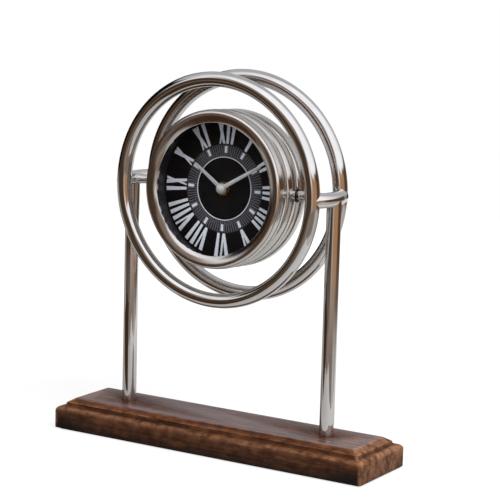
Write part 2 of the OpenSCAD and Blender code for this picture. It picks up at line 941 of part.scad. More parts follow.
wood_base();
base_felt();
left_post();
right_post();
post_plugs();
post_washers();
post_screws();
front_ring();
back_ring();
left_cross_bar();
right_cross_bar();
left_pivot_pin();
right_pivot_pin();
left_pivot_sleeve();
right_pivot_sleeve();
pivot_washers();
pivot_nuts();
left_pivot_bush();
right_pivot_bush();
drum_case();
bezel();
glass();
liner_ring();
dial();
dial_numerals();
dial_markers();
rear_cover();
cover_screws();
movement_housing();
movement_lid();
movement_seal();
dial_nut();
circuit_board();
motor_coil();
motor_stator();
dry_cell();
cell_contacts();
minute_arbor();
minute_hand();
hand_cap();
hour_wheel();
hour_hand();
motion_wheel();
setting_arbor();
setting_knob();
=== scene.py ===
# %% [markdown]
# # A drum clock that tips between two rings
#
# The clock is a short metal drum with a black dial. It tips on two pivots between a pair of polished
# tube rings, and two posts carry the rings above a moulded wooden base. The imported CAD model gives
# every piece its place, so this script loads it first and reads all places from it. Then it remakes
# the round pieces with fine meshes and gives every surface its finish. Lengths are written in
# millimetres and become metres where a mesh is made.

# %% Load the frame
import json
import math
import bmesh
import bpy
from mathutils import Matrix, Vector, noise


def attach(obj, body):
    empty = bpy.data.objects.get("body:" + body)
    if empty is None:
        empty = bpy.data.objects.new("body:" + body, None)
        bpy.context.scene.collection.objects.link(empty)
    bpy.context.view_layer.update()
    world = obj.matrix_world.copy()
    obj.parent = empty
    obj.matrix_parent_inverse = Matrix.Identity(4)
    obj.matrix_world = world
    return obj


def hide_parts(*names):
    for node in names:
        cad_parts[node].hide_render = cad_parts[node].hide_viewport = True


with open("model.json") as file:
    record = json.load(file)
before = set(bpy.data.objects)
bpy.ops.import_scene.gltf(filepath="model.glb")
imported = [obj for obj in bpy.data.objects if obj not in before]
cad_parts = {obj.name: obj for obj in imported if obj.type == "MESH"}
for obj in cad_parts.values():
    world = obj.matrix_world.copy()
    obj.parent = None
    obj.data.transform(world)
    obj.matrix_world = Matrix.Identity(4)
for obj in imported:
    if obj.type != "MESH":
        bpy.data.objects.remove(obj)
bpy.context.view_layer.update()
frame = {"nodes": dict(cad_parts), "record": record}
MM = 0.001

# %% [markdown]
# ## Measures from the frame
#
# A drum that leans back by a few degrees is awkward to model in world axes. It could be built upright
# and turned afterwards, but a finished piece keeps its place in its mesh. So one matrix goes from the
# drum's own axes, x to the right, y up the dial and z out of the dial, to the world. The joints of the
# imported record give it, and the same matrix reads the CAD nodes back into drum axes.

# %% Drum axes and node boxes
joints = {joint["name"]: joint for joint in frame["record"]["behaviour"]["joints"]}
pivot = Vector(joints["drum_tilt"]["pos_m"])
out_of_dial = -Vector(joints["minute_turn"]["axis"])
pivot_line = Vector(joints["drum_tilt"]["axis"])
up_the_dial = out_of_dial.cross(pivot_line)
drum_place = Matrix((pivot_line, up_the_dial, out_of_dial)).transposed().to_4x4()
drum_place.translation = pivot
world_place = Matrix.Identity(4)


def measure(node, place=world_place):
    """Lowest and highest corner of a CAD node in mm, in the axes that place describes."""
    back = place.inverted()
    points = [back @ vertex.co for vertex in frame["nodes"][node].data.vertices]
    return [Vector([pick(point[axis] for point in points) / MM for axis in range(3)]) for pick in (min, max)]


def shift(x=0, y=0, z=0):
    """A move by that much in mm."""
    return Matrix.Translation(Vector((x, y, z)) * MM)


axis_h = pivot.z / MM
base_low, base_high = measure("wood_base")
ring_low, ring_high = measure("front_ring")
tube_r = (ring_high.y - ring_low.y) / 2
ring_y = (ring_high.y + ring_low.y) / 2
ring_r = (ring_high.x - ring_low.x) / 2 - tube_r
post_low, post_high = measure("right_post")
post_x = (post_high.x + post_low.x) / 2
post_r = (post_high.x - post_low.x) / 2
print(f"axis {axis_h:.1f}, ring {ring_r:.1f} of tube {tube_r:.2f}, posts at {post_x:.1f} mm")

# %% [markdown]
# ## Camera
#
# The photograph was taken from the front right, a little above the drum's middle, with a long lens.
# A camera can be given by its matrix, but azimuth, height, distance and the point that it looks at
# are easier to read and to change. The aim lies below the drum, because the base is in view too,
# and a small roll takes the slight lean of the photograph. No lens shift is needed this way.

# %% Place the camera
CAMERA_AZIMUTH = 32.09
CAMERA_HEIGHT = 7.58
CAMERA_DISTANCE = 1721.7
CAMERA_AIM = Vector((0, 36.8, 180.3)) * MM
CAMERA_ROLL = 1.55
LENS = 137.23
SENSOR = 36


def from_front(azimuth, height, distance):
    """A point that far in mm from the pivot. Degrees, azimuth counted from the front to the right."""
    around, above = math.radians(azimuth), math.radians(height)
    flat = math.cos(above) * distance * MM
    return pivot + Vector((math.sin(around) * flat, -math.cos(around) * flat,
                           math.sin(above) * distance * MM))


def looking(place, aim):
    """A matrix at place whose own minus z axis points at aim."""
    turn = (aim - place).to_track_quat("-Z", "Y").to_matrix().to_4x4()
    return Matrix.Translation(place) @ turn


def add_object(name, data):
    """A new object at the origin with this camera, lamp or mesh."""
    item = bpy.data.objects.new(name, data)
    bpy.context.scene.collection.objects.link(item)
    return item


camera_data = bpy.data.cameras.new("long lens")
camera_data.lens = LENS
camera_data.sensor_width = SENSOR
camera = add_object("camera", camera_data)
camera_spot = from_front(CAMERA_AZIMUTH, CAMERA_HEIGHT, CAMERA_DISTANCE)
roll = Matrix.Rotation(math.radians(CAMERA_ROLL), 4, "Z")
camera.matrix_world = looking(camera_spot, CAMERA_AIM) @ roll
bpy.context.scene.camera = camera
bpy.context.scene.view_settings.view_transform = "Standard"
print("camera at", [round(value, 3) for value in camera_spot])

# %% [markdown]
# ## Colours and nodes
#
# Colours are chosen as sRGB hex values, as a paint chart gives them, and the renderer wants linear
# light. One function does that. Node trees could be drawn by hand in the editor, but a script has
# to write each one, so a second function adds a node, sets it and links it in one line.

# %% Colour and node helpers


def to_linear(hex_value):
    """An sRGB hex string as a linear RGBA tuple, by the curve of the sRGB standard."""
    channels = [int(hex_value[start:start + 2], 16) / 255 for start in (1, 3, 5)]
    curve = [c / 12.92 if c <= 0.04045 else ((c + 0.055) / 1.055) ** 2.4 for c in channels]
    return (*curve, 1.0)


def add_node(tree, kind, settings=(), inputs=(), stops=()):
    """One node. Inputs go by name or in order, each a value, a hex colour, a socket or a node to link."""
    node = tree.nodes.new(kind)
    for name, value in dict(settings).items():
        setattr(node, name, value)
    given = inputs if isinstance(inputs, dict) else dict(enumerate(inputs))
    for key, value in given.items():
        if isinstance(value, bpy.types.Node):
            value = value.outputs[0]
        if isinstance(value, bpy.types.NodeSocket):
            tree.links.new(value, node.inputs[key])
        else:
            node.inputs[key].default_value = to_linear(value) if isinstance(value, str) else value
    for index, (position, colour) in enumerate(stops):
        elements = node.color_ramp.elements
        # A new ramp has two stops already
        element = elements[index] if index < 2 else elements.new(position)
        element.position = position
        element.color = to_linear(colour)
    return node


print("mid grey is", [round(value, 3) for value in to_linear("#808080")])

# %% [markdown]
# ## White room, floor and lamps
#
# A packshot stands on white. The world is plain white for what the camera, the metal and the glass
# see, and a lower, even level for the light that falls on the object, so nothing is lit too much. The
# floor is a sheet of paper that adds its own white for the camera and still takes the clock's shadow.
# Its glow rises outwards, so its edge melts into the white behind it. Metal shows the sheet dimmer, most
# of all at the front left, or the lower halves of the tubes would vanish. One large soft lamp stands at
# the right, where the photograph is brightest, and a weak one fills the left. Metal doesn't see the
# lamps themselves, because their hard bright squares would burn out on every tube.

# %% White world
AMBIENT_LEVEL = 0.36


def seen_rays(tree, mirrored):
    """A node that gives 1 for camera rays, and that share for rays off metal or through glass."""
    path = add_node(tree, "ShaderNodeLightPath").outputs
    bounced = add_node(tree, "ShaderNodeMath", {"operation": "MAXIMUM"},
                       (path["Is Glossy Ray"], path["Is Transmission Ray"]))
    dimmed = add_node(tree, "ShaderNodeMath", {"operation": "MULTIPLY"}, (bounced, mirrored))
    return add_node(tree, "ShaderNodeMath", {"operation": "MAXIMUM"}, (path["Is Camera Ray"], dimmed))


world = bpy.data.worlds.new("white room")
world.use_nodes = True
bpy.context.scene.world = world
room = world.node_tree
room.nodes.clear()
level = add_node(room, "ShaderNodeMapRange", inputs=(seen_rays(room, 1.0), 0.0, 1.0, AMBIENT_LEVEL, 1.0))
light = add_node(room, "ShaderNodeBackground", inputs={"Color": "#FFFFFF", "Strength": level})
add_node(room, "ShaderNodeOutputWorld", inputs={"Surface": light})
print("world lights the clock at", AMBIENT_LEVEL)

# %% Paper floor
PAPER_GLOW = 0.80
# Distances from the middle in mm between which the glow rises to full white
GLOW_FROM = 300
GLOW_TO = 900
# Share of the glow that metal shows, lowest at the front left, and where in mm it starts and ends rising
MIRRORED_GLOW = (0.18, 0.6)
MIRRORED_FROM = -300
MIRRORED_TO = 350
BACK_RIGHT = (0.8, 0.6, 0.0)


def blank(name):
    """A new material with an empty node tree: material and tree."""
    material = bpy.data.materials.new(name)
    material.use_nodes = True
    material.node_tree.nodes.clear()
    return material, material.node_tree


def close_material(tree, kind, inputs):
    """Ends a material's tree with a shader of that kind and the output."""
    add_node(tree, "ShaderNodeOutputMaterial", inputs={"Surface": add_node(tree, kind, inputs=inputs)})


def sheet(name, material, x, y, height=0):
    """A flat rectangle between two x and two y values in mm, that isn't part of the clock."""
    mesh = bpy.data.meshes.new(name)
    corners = ((x[0], y[0]), (x[1], y[0]), (x[1], y[1]), (x[0], y[1]))
    mesh.from_pydata([Vector((*corner, height)) * MM for corner in corners], [], [(0, 1, 2, 3)])
    mesh.materials.append(material)
    item = add_object(name, mesh)
    return item


floor_paint, paper = blank("white paper")
spot = add_node(paper, "ShaderNodeTexCoord").outputs["Object"]
from_clock = add_node(paper, "ShaderNodeVectorMath", {"operation": "LENGTH"}, (spot,))
paper_white = add_node(paper, "ShaderNodeMapRange", inputs=(
    from_clock.outputs["Value"], GLOW_FROM * MM, GLOW_TO * MM, PAPER_GLOW, 1.0))
to_right = add_node(paper, "ShaderNodeVectorMath", {"operation": "DOT_PRODUCT"}, (spot, BACK_RIGHT))
mirrored_share = add_node(paper, "ShaderNodeMapRange", inputs=(
    to_right.outputs["Value"], MIRRORED_FROM * MM, MIRRORED_TO * MM, *MIRRORED_GLOW))
glow_level = add_node(paper, "ShaderNodeMath", {"operation": "MULTIPLY"},
                      (seen_rays(paper, mirrored_share), paper_white))
glow = add_node(paper, "ShaderNodeEmission", inputs={"Strength": glow_level})
matt = add_node(paper, "ShaderNodeBsdfDiffuse", inputs={"Color": "#8C8C8C"})
close_material(paper, "ShaderNodeAddShader", (glow, matt))
sheet("paper", floor_paint, x=(-900, 330), y=(-380, 1500))
print("made", floor_paint.name)

# %% Lamps


def softbox(name, azimuth, height, distance, size, watts, tint):
    """A square area lamp that looks at the clock. Angles in degrees, lengths in mm."""
    data = bpy.data.lights.new(name, "AREA")
    data.size = size * MM
    data.energy = watts
    data.color = to_linear(tint)[:3]
    lamp = add_object(name, data)
    lamp.matrix_world = looking(from_front(azimuth, height, distance), pivot)
    lamp.visible_glossy = False


softbox("right_softbox", azimuth=66, height=42, distance=2000, size=1100, watts=40, tint="#FFFDF8")
softbox("left_fill", azimuth=-50, height=38, distance=2200, size=1300, watts=15, tint="#F6F8FF")

# %% [markdown]
# ## What the metal mirrors
#
# Polished tube shows no colour of its own, only the room. In an all-white room the tubes would vanish
# against the background. A photographer puts dark and tinted cards around shiny things, and that is
# done here with one big shell that only rays off metal or through glass see. Its colour follows a rule:
# white above at the front right, grey below, and a few named cards at the horizon. A brown tray lies
# flat at the front left for the same rays, and darkens the upper half of the bezel.

# %% Colours of the shell
SIDE_BLUR = 10
EDGE_BLUR = 2
HORIZON_BLUR = 5
BRIGHT_MIDDLE = 40
BRIGHT_FADE = (60, 130)
# Brighter than white, so it is given in linear light
SKY = (1.2, 1.22, 1.28, 1.0)
DULL_SKY = "#BEBEC0"
DULL_GROUND = "#A8A4A1"
BRIGHT_GROUND = "#C9C5C1"
UNDERNEATH = "#7A7370"
UNDER_FADE = (-80, -40)
# Azimuth of a card's middle, half width, lower edge and upper edge in degrees, and its colour
CARDS = {
    "grey wall behind": (180, 60, -30, 9, "#B4B3B2"),
    "brown shelf at the right": (122, 44, -13, 13, "#5E4430"),
    "dark doorway at the left": (-95, 40, -6, 34, "#170C06"),
    "dark gap behind": (-152, 34, -15, 3, "#2E241D"),
    "tan wall at the front left": (-4, 32, 9, 35, "#8E7F74"),
    "brown curtain": (-25, 44, -13, 15, "#4C3B2D"),
    "grey table at the left": (-32, 38, -34, -13, "#6A5E56"),
    "warm wall in front": (66, 34, -12, 9, "#B48A66"),
    "table edge in front": (46, 38, -32, -12, "#8A7A6E"),
}


def ease(low, high, value):
    """0 below low, 1 above high, with a smooth step between."""
    part = min(max((value - low) / (high - low), 0), 1)
    return part * part * (3 - 2 * part)


def blend(first, second, share):
    """Two colours mixed, share of the second."""
    return [a + (b - a) * share for a, b in zip(first, second)]


def apart(azimuth, middle):
    """Angle between two azimuths, in degrees."""
    return abs((azimuth - middle + 180) % 360 - 180)


def shell_colour(azimuth, height):
    """Colour of the shell in one direction, in degrees."""
    bright_side = 1 - ease(*BRIGHT_FADE, apart(azimuth, BRIGHT_MIDDLE))
    above = blend(to_linear(DULL_SKY), SKY, bright_side)
    below = blend(to_linear(DULL_GROUND), to_linear(BRIGHT_GROUND), bright_side)
    below = blend(to_linear(UNDERNEATH), below, ease(*UNDER_FADE, height))
    colour = blend(below, above, ease(-HORIZON_BLUR, HORIZON_BLUR, height))
    for middle, half_width, low, high, tone in CARDS.values():
        share = 1 - ease(half_width - SIDE_BLUR, half_width + SIDE_BLUR, apart(azimuth, middle))
        share *= ease(low - EDGE_BLUR, low + EDGE_BLUR, height)
        share *= 1 - ease(high - EDGE_BLUR, high + EDGE_BLUR, height)
        colour = blend(colour, to_linear(tone), share)
    return colour


print(len(CARDS), "cards:", ", ".join(CARDS))

# %% Shell and tray
SHELL_R = 4000
SHELL_STEP = 2


def to_object(name, work):
    """An object with the mesh that was worked on."""
    mesh = bpy.data.meshes.new(name)
    work.to_mesh(mesh)
    work.free()
    return add_object(name, mesh)


shell = bmesh.new()
bmesh.ops.create_uvsphere(shell, u_segments=360 // SHELL_STEP, v_segments=180 // SHELL_STEP,
                          radius=SHELL_R * MM)
shell_layer = shell.verts.layers.float_color.new("card")
for vertex in shell.verts:
    height = math.degrees(math.asin(max(-1, min(1, vertex.co.z / (SHELL_R * MM)))))
    azimuth = math.degrees(math.atan2(vertex.co.x, -vertex.co.y))
    vertex[shell_layer] = shell_colour(azimuth, height)
card_paint, cards = blank("painted cards")
tone = add_node(cards, "ShaderNodeAttribute", {"attribute_name": "card"})
close_material(cards, "ShaderNodeEmission", {"Color": tone.outputs["Color"]})
shell_object = to_object("reflector_cards", shell)
shell_object.data.materials.append(card_paint)
shell_object.location = pivot
tray_paint, tray = blank("brown tray")
close_material(tray, "ShaderNodeEmission", {"Color": "#46301F"})
tray_object = sheet("brown tray", tray_paint, x=(-640, -80), y=(-640, -160), height=1)
# What is left are the rays off metal or through glass
for item in (shell_object, tray_object):
    for ray in ("camera", "diffuse", "shadow", "volume_scatter"):
        setattr(item, "visible_" + ray, False)
print("shell of", len(shell_object.data.vertices), "points")

# %% [markdown]
# ## Finishes that share a recipe: moulded, printed and plated
#
# No surface is one flat colour. Most of the small parts share one recipe: a grain of a real size that
# varies the colour and the gloss a little and stands up by a small height. It could be painted by hand,
# but a noise on object coordinates keeps its size in millimetres on every piece. The functions below
# make such a finish, and the finishes that need more get their own cell.

# %% Recipe for a grained finish
TONE_SPAN = (0.35, 0.65)
GLOSS_SPAN = (0.3, 0.7)
GRAIN_STRENGTH = 0.6


def close_finish(tree, tint, rough, relief, metal, specular=0.5):
    """Ends a finish. Tint and rough are a noise, two values of it, and the colour or roughness at each.
    Relief is a noise, its height in mm and the strength of the bump."""
    (tint_from, tint_span, tones), (rough_from, rough_span, gloss) = tint, rough
    height_from, height, strength = relief
    close_material(tree, "ShaderNodeBsdfPrincipled", {
        "Base Color": add_node(tree, "ShaderNodeValToRGB", inputs=(tint_from,), stops=zip(tint_span, tones)),
        "Roughness": add_node(tree, "ShaderNodeMapRange", inputs=(rough_from, *rough_span, *gloss)),
        "Normal": add_node(tree, "ShaderNodeBump", inputs={
            "Height": height_from, "Distance": height * MM, "Strength": strength}),
        "Metallic": metal, "Specular IOR Level": specular})


def grained(name, dark, light_tone, gloss, grain, height, metal=0.0, specular=0.5):
    """A finish whose grain of that size in mm runs between two tones and two roughness values."""
    material, tree = blank(name)
    where = add_node(tree, "ShaderNodeTexCoord").outputs["Object"]
    speck = add_node(tree, "ShaderNodeTexNoise", inputs={
        "Vector": where, "Scale": 1 / (grain * MM), "Detail": 4.0})
    close_finish(tree, (speck, TONE_SPAN, (dark, light_tone)), (speck, GLOSS_SPAN, gloss),
                 (speck, height, GRAIN_STRENGTH), metal, specular)
    return material


# Two tones, range of roughness, size and height of the grain in mm, metal share, specular level
FINISHES = {
    # Stamped felt: matt, with fibre ends
    "wool felt": ("#121213", "#232326", (0.95, 1.0), 0.9, 0.4),
    # Sprayed on the dial plate: an even, dull black
    "satin black lacquer": ("#07080A", "#0B0C0F", (0.42, 0.52), 1.2, 0.008, 0.0, 0.15),
    # Liner of the well: a soft gloss that mirrors the numerals faintly
    "black anodised aluminium": ("#17171B", "#232328", (0.26, 0.36), 0.8, 0.01),
    # Numerals and batons, faintly uneven, then the band inside them and its lighter fine ticks
    "pad printed white": ("#DDE2F2", "#F0F3FC", (0.5, 0.62), 2.2, 0.01),
    "pad printed charcoal": ("#0B0B0D", "#141416", (0.5, 0.62), 1.1, 0.005),
    "pad printed grey": ("#54545C", "#75757F", (0.5, 0.62), 1.6, 0.005),
    # Arbor, wheels and nuts: a warm, clean gloss
    "turned brass": ("#B08A3E", "#C9A655", (0.22, 0.36), 1.5, 0.01, 1.0),
    # Screws, pins and contacts: a cold, slightly cloudy gloss
    "zinc plated steel": ("#A5A8AB", "#C3C6C8", (0.26, 0.4), 1.0, 0.01, 1.0),
    # Hands and cap: stamped, then sprayed with silver lacquer that hides most of the metal's gloss
    "silver lacquered aluminium": ("#B4B5B8", "#CCCDD0", (0.42, 0.55), 0.7, 0.01, 0.35),
    # Friction washers: a waxy black
    "moulded nylon": ("#161617", "#212123", (0.4, 0.5), 1.5, 0.01),
    # Movement case with a spark-eroded texture
    "moulded black ABS": ("#151516", "#1E1E20", (0.42, 0.58), 0.6, 0.03),
    # Seal cut from sheet: almost without gloss
    "sheet rubber": ("#161616", "#202020", (0.75, 0.9), 0.8, 0.02),
    # Circuit board under its solder mask: a glassy green
    "glass fibre laminate": ("#1F5A37", "#2A6B43", (0.35, 0.5), 0.5, 0.01),
    # Motor coil: fine bright turns
    "enamelled copper wire": ("#9C5430", "#C27748", (0.25, 0.4), 0.2, 0.05, 1.0),
    # Film shrunk round the dry cell: smooth and dark
    "shrink film": ("#23262B", "#2D3138", (0.25, 0.35), 3.0, 0.01),
}
finish = {name: grained(name, *values) for name, values in FINISHES.items()}
print("made", ", ".join(finish))

# %% [markdown]
# ## Polished nickel
#
# The rings, posts and bars are bright nickel plate on steel tube, buffed to a mirror. A perfect mirror
# looks like computer chrome. Real plate has a faint haze where it was wiped, and a slight waviness from
# buffing. So the roughness stays low and drifts over a few centimetres, and a very shallow, slow bump
# bends the reflections a little.

# %% Nickel plate
SMUDGE = 22
TINT_SPAN = (0.3, 0.7)
HAZE_SPAN = (0.35, 0.75)
HAZE = (0.03, 0.09)
BUFF_WAVE = 14
BUFF_HEIGHT = 0.06
BUFF_STRENGTH = 0.5
mirror_nickel, tree = blank("polished nickel plate")
where = add_node(tree, "ShaderNodeTexCoord").outputs["Object"]
smudge = add_node(tree, "ShaderNodeTexNoise",
                  inputs={"Vector": where, "Scale": 1 / (SMUDGE * MM), "Detail": 6.0})
wave = add_node(tree, "ShaderNodeTexNoise",
                inputs={"Vector": where, "Scale": 1 / (BUFF_WAVE * MM), "Detail": 2.0})
close_finish(tree, (smudge, TINT_SPAN, ("#D6D3D1", "#E2E0DF")), (smudge, HAZE_SPAN, HAZE),
             (wave, BUFF_HEIGHT, BUFF_STRENGTH), metal=1.0)
print("made", mirror_nickel.name)

# %% [markdown]
# ## Turned satin nickel
#
# The drum was turned on a lathe and brushed before plating, so fine lines run round it and stretch the
# highlights across them. The lines must follow the surface, so the material reads the piece's own UV
# map: u goes once round, v is the distance along the section. Lines of the real width are too fine to
# show at this size, so they are drawn 0.35 mm apart.

# %% Brushed drum finish
LINE = 0.35
LINE_HEIGHT = 0.012
LINE_STRENGTH = 0.4
LINE_SHARE = 0.5
STREAKS_ROUND = 14.0
SATIN_SPAN = (0.5, 1.0)
SATIN = (0.1, 0.2)
drum_nickel, tree = blank("brushed nickel drum")
around = add_node(tree, "ShaderNodeUVMap", {"uv_map": "around"})
stretch = add_node(tree, "ShaderNodeMapping",
                   inputs={"Vector": around, "Scale": (STREAKS_ROUND, 1 / (LINE * MM), 1.0)})
lines = add_node(tree, "ShaderNodeTexNoise", {"noise_dimensions": "2D"},
                 {"Vector": stretch, "Scale": 1.0, "Detail": 3.0})
where = add_node(tree, "ShaderNodeTexCoord").outputs["Object"]
cloud = add_node(tree, "ShaderNodeTexNoise",
                 inputs={"Vector": where, "Scale": 1 / (SMUDGE * MM), "Detail": 5.0})
mixed = add_node(tree, "ShaderNodeMath", {"operation": "MULTIPLY_ADD"}, (lines, LINE_SHARE, cloud))
close_finish(tree, (cloud, TINT_SPAN, ("#CFCAC5", "#DBD7D3")), (mixed, SATIN_SPAN, SATIN),
             (lines, LINE_HEIGHT, LINE_STRENGTH), metal=1.0)
print("made", drum_nickel.name)

# %% [markdown]
# ## Aged hardwood
#
# The base is a dark stained hardwood with old wax on its top, and a grey painted sheen lies on the top in
# streaks along the grain. The wood is darker towards the bottom of the sides and in the middle of the
# cove, lighter patches show in the moulding, and the edges and both ends are rubbed down to tan wood.
# Grain is a noise that is stretched along the length. Where the wood is worn, darker, waxed or given the
# painted sheen is a matter of the shape, so the mesh carries three attributes that the material mixes
# in: worn, hollow and wax_and_sheen.

# %% Noises of the stained wood
# Length along the grain and width across it in mm, detail, roughness and distortion of each noise
WOOD_NOISES = {
    "grain": (170, 3.2, 7.0, 0.6, 0.7),
    "pores": (11, 0.55, 3.0, 0.5, 0.0),
    "patches": (17, 5, 5.0, 0.7, 0.0),
    "rubbing": (10, 10, 3.0, 0.55, 0.0),
}
# The noise that a share follows, two values of that noise, and the share at each of them
WOOD_SHARES = {
    "patch": ("patches", 0.5, 0.62, 0.0, 0.8),
    "pore": ("pores", 0.36, 0.46, 0.55, 0.0),
    "rubbed": ("rubbing", 0.36, 0.62, 0.15, 1.0),
    "sheen_streak": ("grain", 0.35, 0.65, 0.0, 0.48),
    "wax_gloss": ("grain", 0.3, 0.7, 0.22, 0.42),
}
stained_wood, tree = blank("stained hardwood")
where = add_node(tree, "ShaderNodeTexCoord").outputs["Object"]
wood = {}
for name, (length, width, detail, harshness, twist) in WOOD_NOISES.items():
    along = add_node(tree, "ShaderNodeMapping", inputs={
        "Vector": where, "Scale": [1 / (size * MM) for size in (length, width, width)]})
    wood[name] = add_node(tree, "ShaderNodeTexNoise", inputs={
        "Vector": along, "Scale": 1.0, "Detail": detail, "Roughness": harshness, "Distortion": twist})
share = {name: add_node(tree, "ShaderNodeMapRange", inputs=(wood[source], *values))
         for name, (source, *values) in WOOD_SHARES.items()}
print("wood noises:", ", ".join(wood))

# %% Layers of the stained wood
WAX = (0.12, 0.9)
PORE_RELIEF = 0.4
RELIEF_HEIGHT = 0.5
# Sockets of a Mix node that mixes colours: share and both colours go in, the mixed one comes out
MIX_INPUTS = (0, 6, 7)
MIX_OUTPUT = 2
worn, hollow, wax_and_sheen = [add_node(tree, "ShaderNodeAttribute", {"attribute_name": name}).outputs["Fac"]
                       for name in ("worn", "hollow", "wax_and_sheen")]
bare_share = add_node(tree, "ShaderNodeMath", {"operation": "MULTIPLY", "use_clamp": True},
                      (worn, share["rubbed"]))
# Painted sheen: on the waxed top the colour is mixed towards a grey mauve in streaks along the grain
painted_sheen_share = add_node(tree, "ShaderNodeMath", {"operation": "MULTIPLY"}, (wax_and_sheen, share["sheen_streak"]))
bare_wood = add_node(tree, "ShaderNodeValToRGB", inputs=(wood["grain"],),
                     stops=((0.3, "#80502F"), (0.7, "#B08468")))
colour = add_node(tree, "ShaderNodeValToRGB", inputs=(wood["grain"],),
                  stops=((0.28, "#210D05"), (0.74, "#643318"), (0.5, "#3C1B0C"))).outputs[0]
# Layers: lighter patches, dark pores, bare wood, the darker bottom and cove, and the painted sheen
for part, layer in ((share["patch"], "#71421F"), (share["pore"], "#180B06"), (bare_share, bare_wood),
                    (hollow, "#120906"), (painted_sheen_share, "#8A7F88")):
    colour = add_node(tree, "ShaderNodeMix", {"data_type": "RGBA"},
                      dict(zip(MIX_INPUTS, (part, colour, layer)))).outputs[MIX_OUTPUT]
wax = add_node(tree, "ShaderNodeMapRange", inputs=(wax_and_sheen, 0.0, 1.0, *WAX))
relief = add_node(tree, "ShaderNodeMath", {"operation": "MULTIPLY_ADD"},
                  (wood["pores"], PORE_RELIEF, wood["patches"]))
bump = add_node(tree, "ShaderNodeBump",
                inputs={"Height": relief, "Distance": RELIEF_HEIGHT * MM, "Strength": 0.5})
close_material(tree, "ShaderNodeBsdfPrincipled", {
    "Base Color": colour, "Roughness": 0.6, "Normal": bump, "Specular IOR Level": 0.1,
    "Coat Weight": wax, "Coat Roughness": share["wax_gloss"]})
print("made", stained_wood.name)

# %% [markdown]
# ## Clear glass
#
# The dial lies behind a flat glass disc. In a path tracer a glass disc would keep the lamps off the
# dial, since light through glass is a caustic. So shadow and diffuse rays pass straight through a
# transparent shader, and every other ray meets real glass. A coating keeps its gloss low and the dial
# black, so its IOR lies between that of air and that of plain glass.

# %% Glass
COATED_IOR = 1.2
clear_glass, tree = blank("flat clock glass")
body = add_node(tree, "ShaderNodeBsdfPrincipled", inputs={
    "Base Color": "#FFFFFF", "Roughness": 0.02, "IOR": COATED_IOR, "Transmission Weight": 1.0})
path = add_node(tree, "ShaderNodeLightPath").outputs
passing = add_node(tree, "ShaderNodeMath", {"operation": "MAXIMUM"},
                   (path["Is Shadow Ray"], path["Is Diffuse Ray"]))
close_material(tree, "ShaderNodeMixShader", (passing, body, add_node(tree, "ShaderNodeBsdfTransparent")))
print("made", clear_glass.name)

# %% [markdown]
# ## Turning, coping and handing over
#
# Nearly everything here was turned or is tube, so one helper turns a section about an axis. The CAD
# meshes are good for sizes, but a circle in them has few sides, and a mirror shows every side. Where
# tubes meet, one is coped to the other with a boolean, as a fitter would file it. The last helper gives
# a piece its finish, its body and the CAD nodes that it stands for.

# %% Sections and turning
SHARP_ANGLE = math.radians(32)
WELD = 0.0005
ON_AXIS = 1e-6


def arc(centre, radius, start, end, steps):
    """Points along an arc, angles in degrees."""
    turns = [math.radians(start + (end - start) * step / steps) for step in range(steps + 1)]
    return [(centre[0] + radius * math.cos(t), centre[1] + radius * math.sin(t)) for t in turns]


def tube_section(inner, outer, low, high, low_cut=0, high_cut=0):
    """Section of a tube, or of a disc where inner is 0. Its outer rims can be cut off by so much."""
    lower = [(outer - low_cut, low), (outer, low + low_cut)] if low_cut else [(outer, low)]
    upper = [(outer, high - high_cut), (outer - high_cut, high)] if high_cut else [(outer, high)]
    return [(inner, low), *lower, *upper, (inner, high)]


def settle(mesh):
    """Welds double points, turns all faces outwards and keeps only true edges sharp."""
    work = bmesh.new()
    work.from_mesh(mesh)
    bmesh.ops.remove_doubles(work, verts=work.verts, dist=WELD * MM)
    bmesh.ops.recalc_face_normals(work, faces=work.faces)
    work.to_mesh(mesh)
    work.free()
    mesh.shade_smooth()
    mesh.set_sharp_from_angle(angle=SHARP_ANGLE)


def turned(name, section, place, sides):
    """A closed solid turned about the own z axis of place, from (radius, height) points in mm."""
    work = bmesh.new()
    uv = work.loops.layers.uv.new("around")
    rows = []
    for radius, height in section:
        turns = [2 * math.pi * k / sides for k in range(sides if radius > ON_AXIS else 1)]
        spots = [Vector((radius * math.cos(t), radius * math.sin(t), height)) for t in turns]
        rows.append([work.verts.new(place @ (spot * MM)) for spot in spots])
    travelled = 0.0
    for index, row in enumerate(rows):
        follower = (index + 1) % len(rows)
        reached = travelled + (Vector(section[follower]) - Vector(section[index])).length * MM
        for k in range(sides):
            corners = {}
            for ring, step, v in ((row, k, travelled), (row, k + 1, travelled),
                                  (rows[follower], k + 1, reached), (rows[follower], k, reached)):
                corners.setdefault(ring[step % len(ring)], (step / sides, v))
            if len(corners) > 2:
                face = work.faces.new(list(corners))
                for loop, corner_uv in zip(face.loops, corners.values()):
                    loop[uv].uv = corner_uv
        travelled = reached
    item = to_object(name, work)
    settle(item.data)
    return item


print("edges stay sharp above", round(math.degrees(SHARP_ANGLE)), "degrees")

# %% Coping and handing over


def bake(item):
    """Replaces an object's mesh by what its modifiers make of it, and removes them."""
    graph = bpy.context.evaluated_depsgraph_get()
    mesh = bpy.data.meshes.new_from_object(item.evaluated_get(graph), depsgraph=graph)
    item.modifiers.clear()
    item.data = mesh
    settle(mesh)


def cope(item, *cutters):
    """Takes the cutters' volumes away from an object. The cutters stay."""
    for cutter in cutters:
        taken = item.modifiers.new("cope", "BOOLEAN")
        taken.operation = "DIFFERENCE"
        taken.solver = "EXACT"
        taken.object = cutter
    bake(item)


def discard(*items):
    """Removes helper objects."""
    for item in items:
        bpy.data.objects.remove(item)


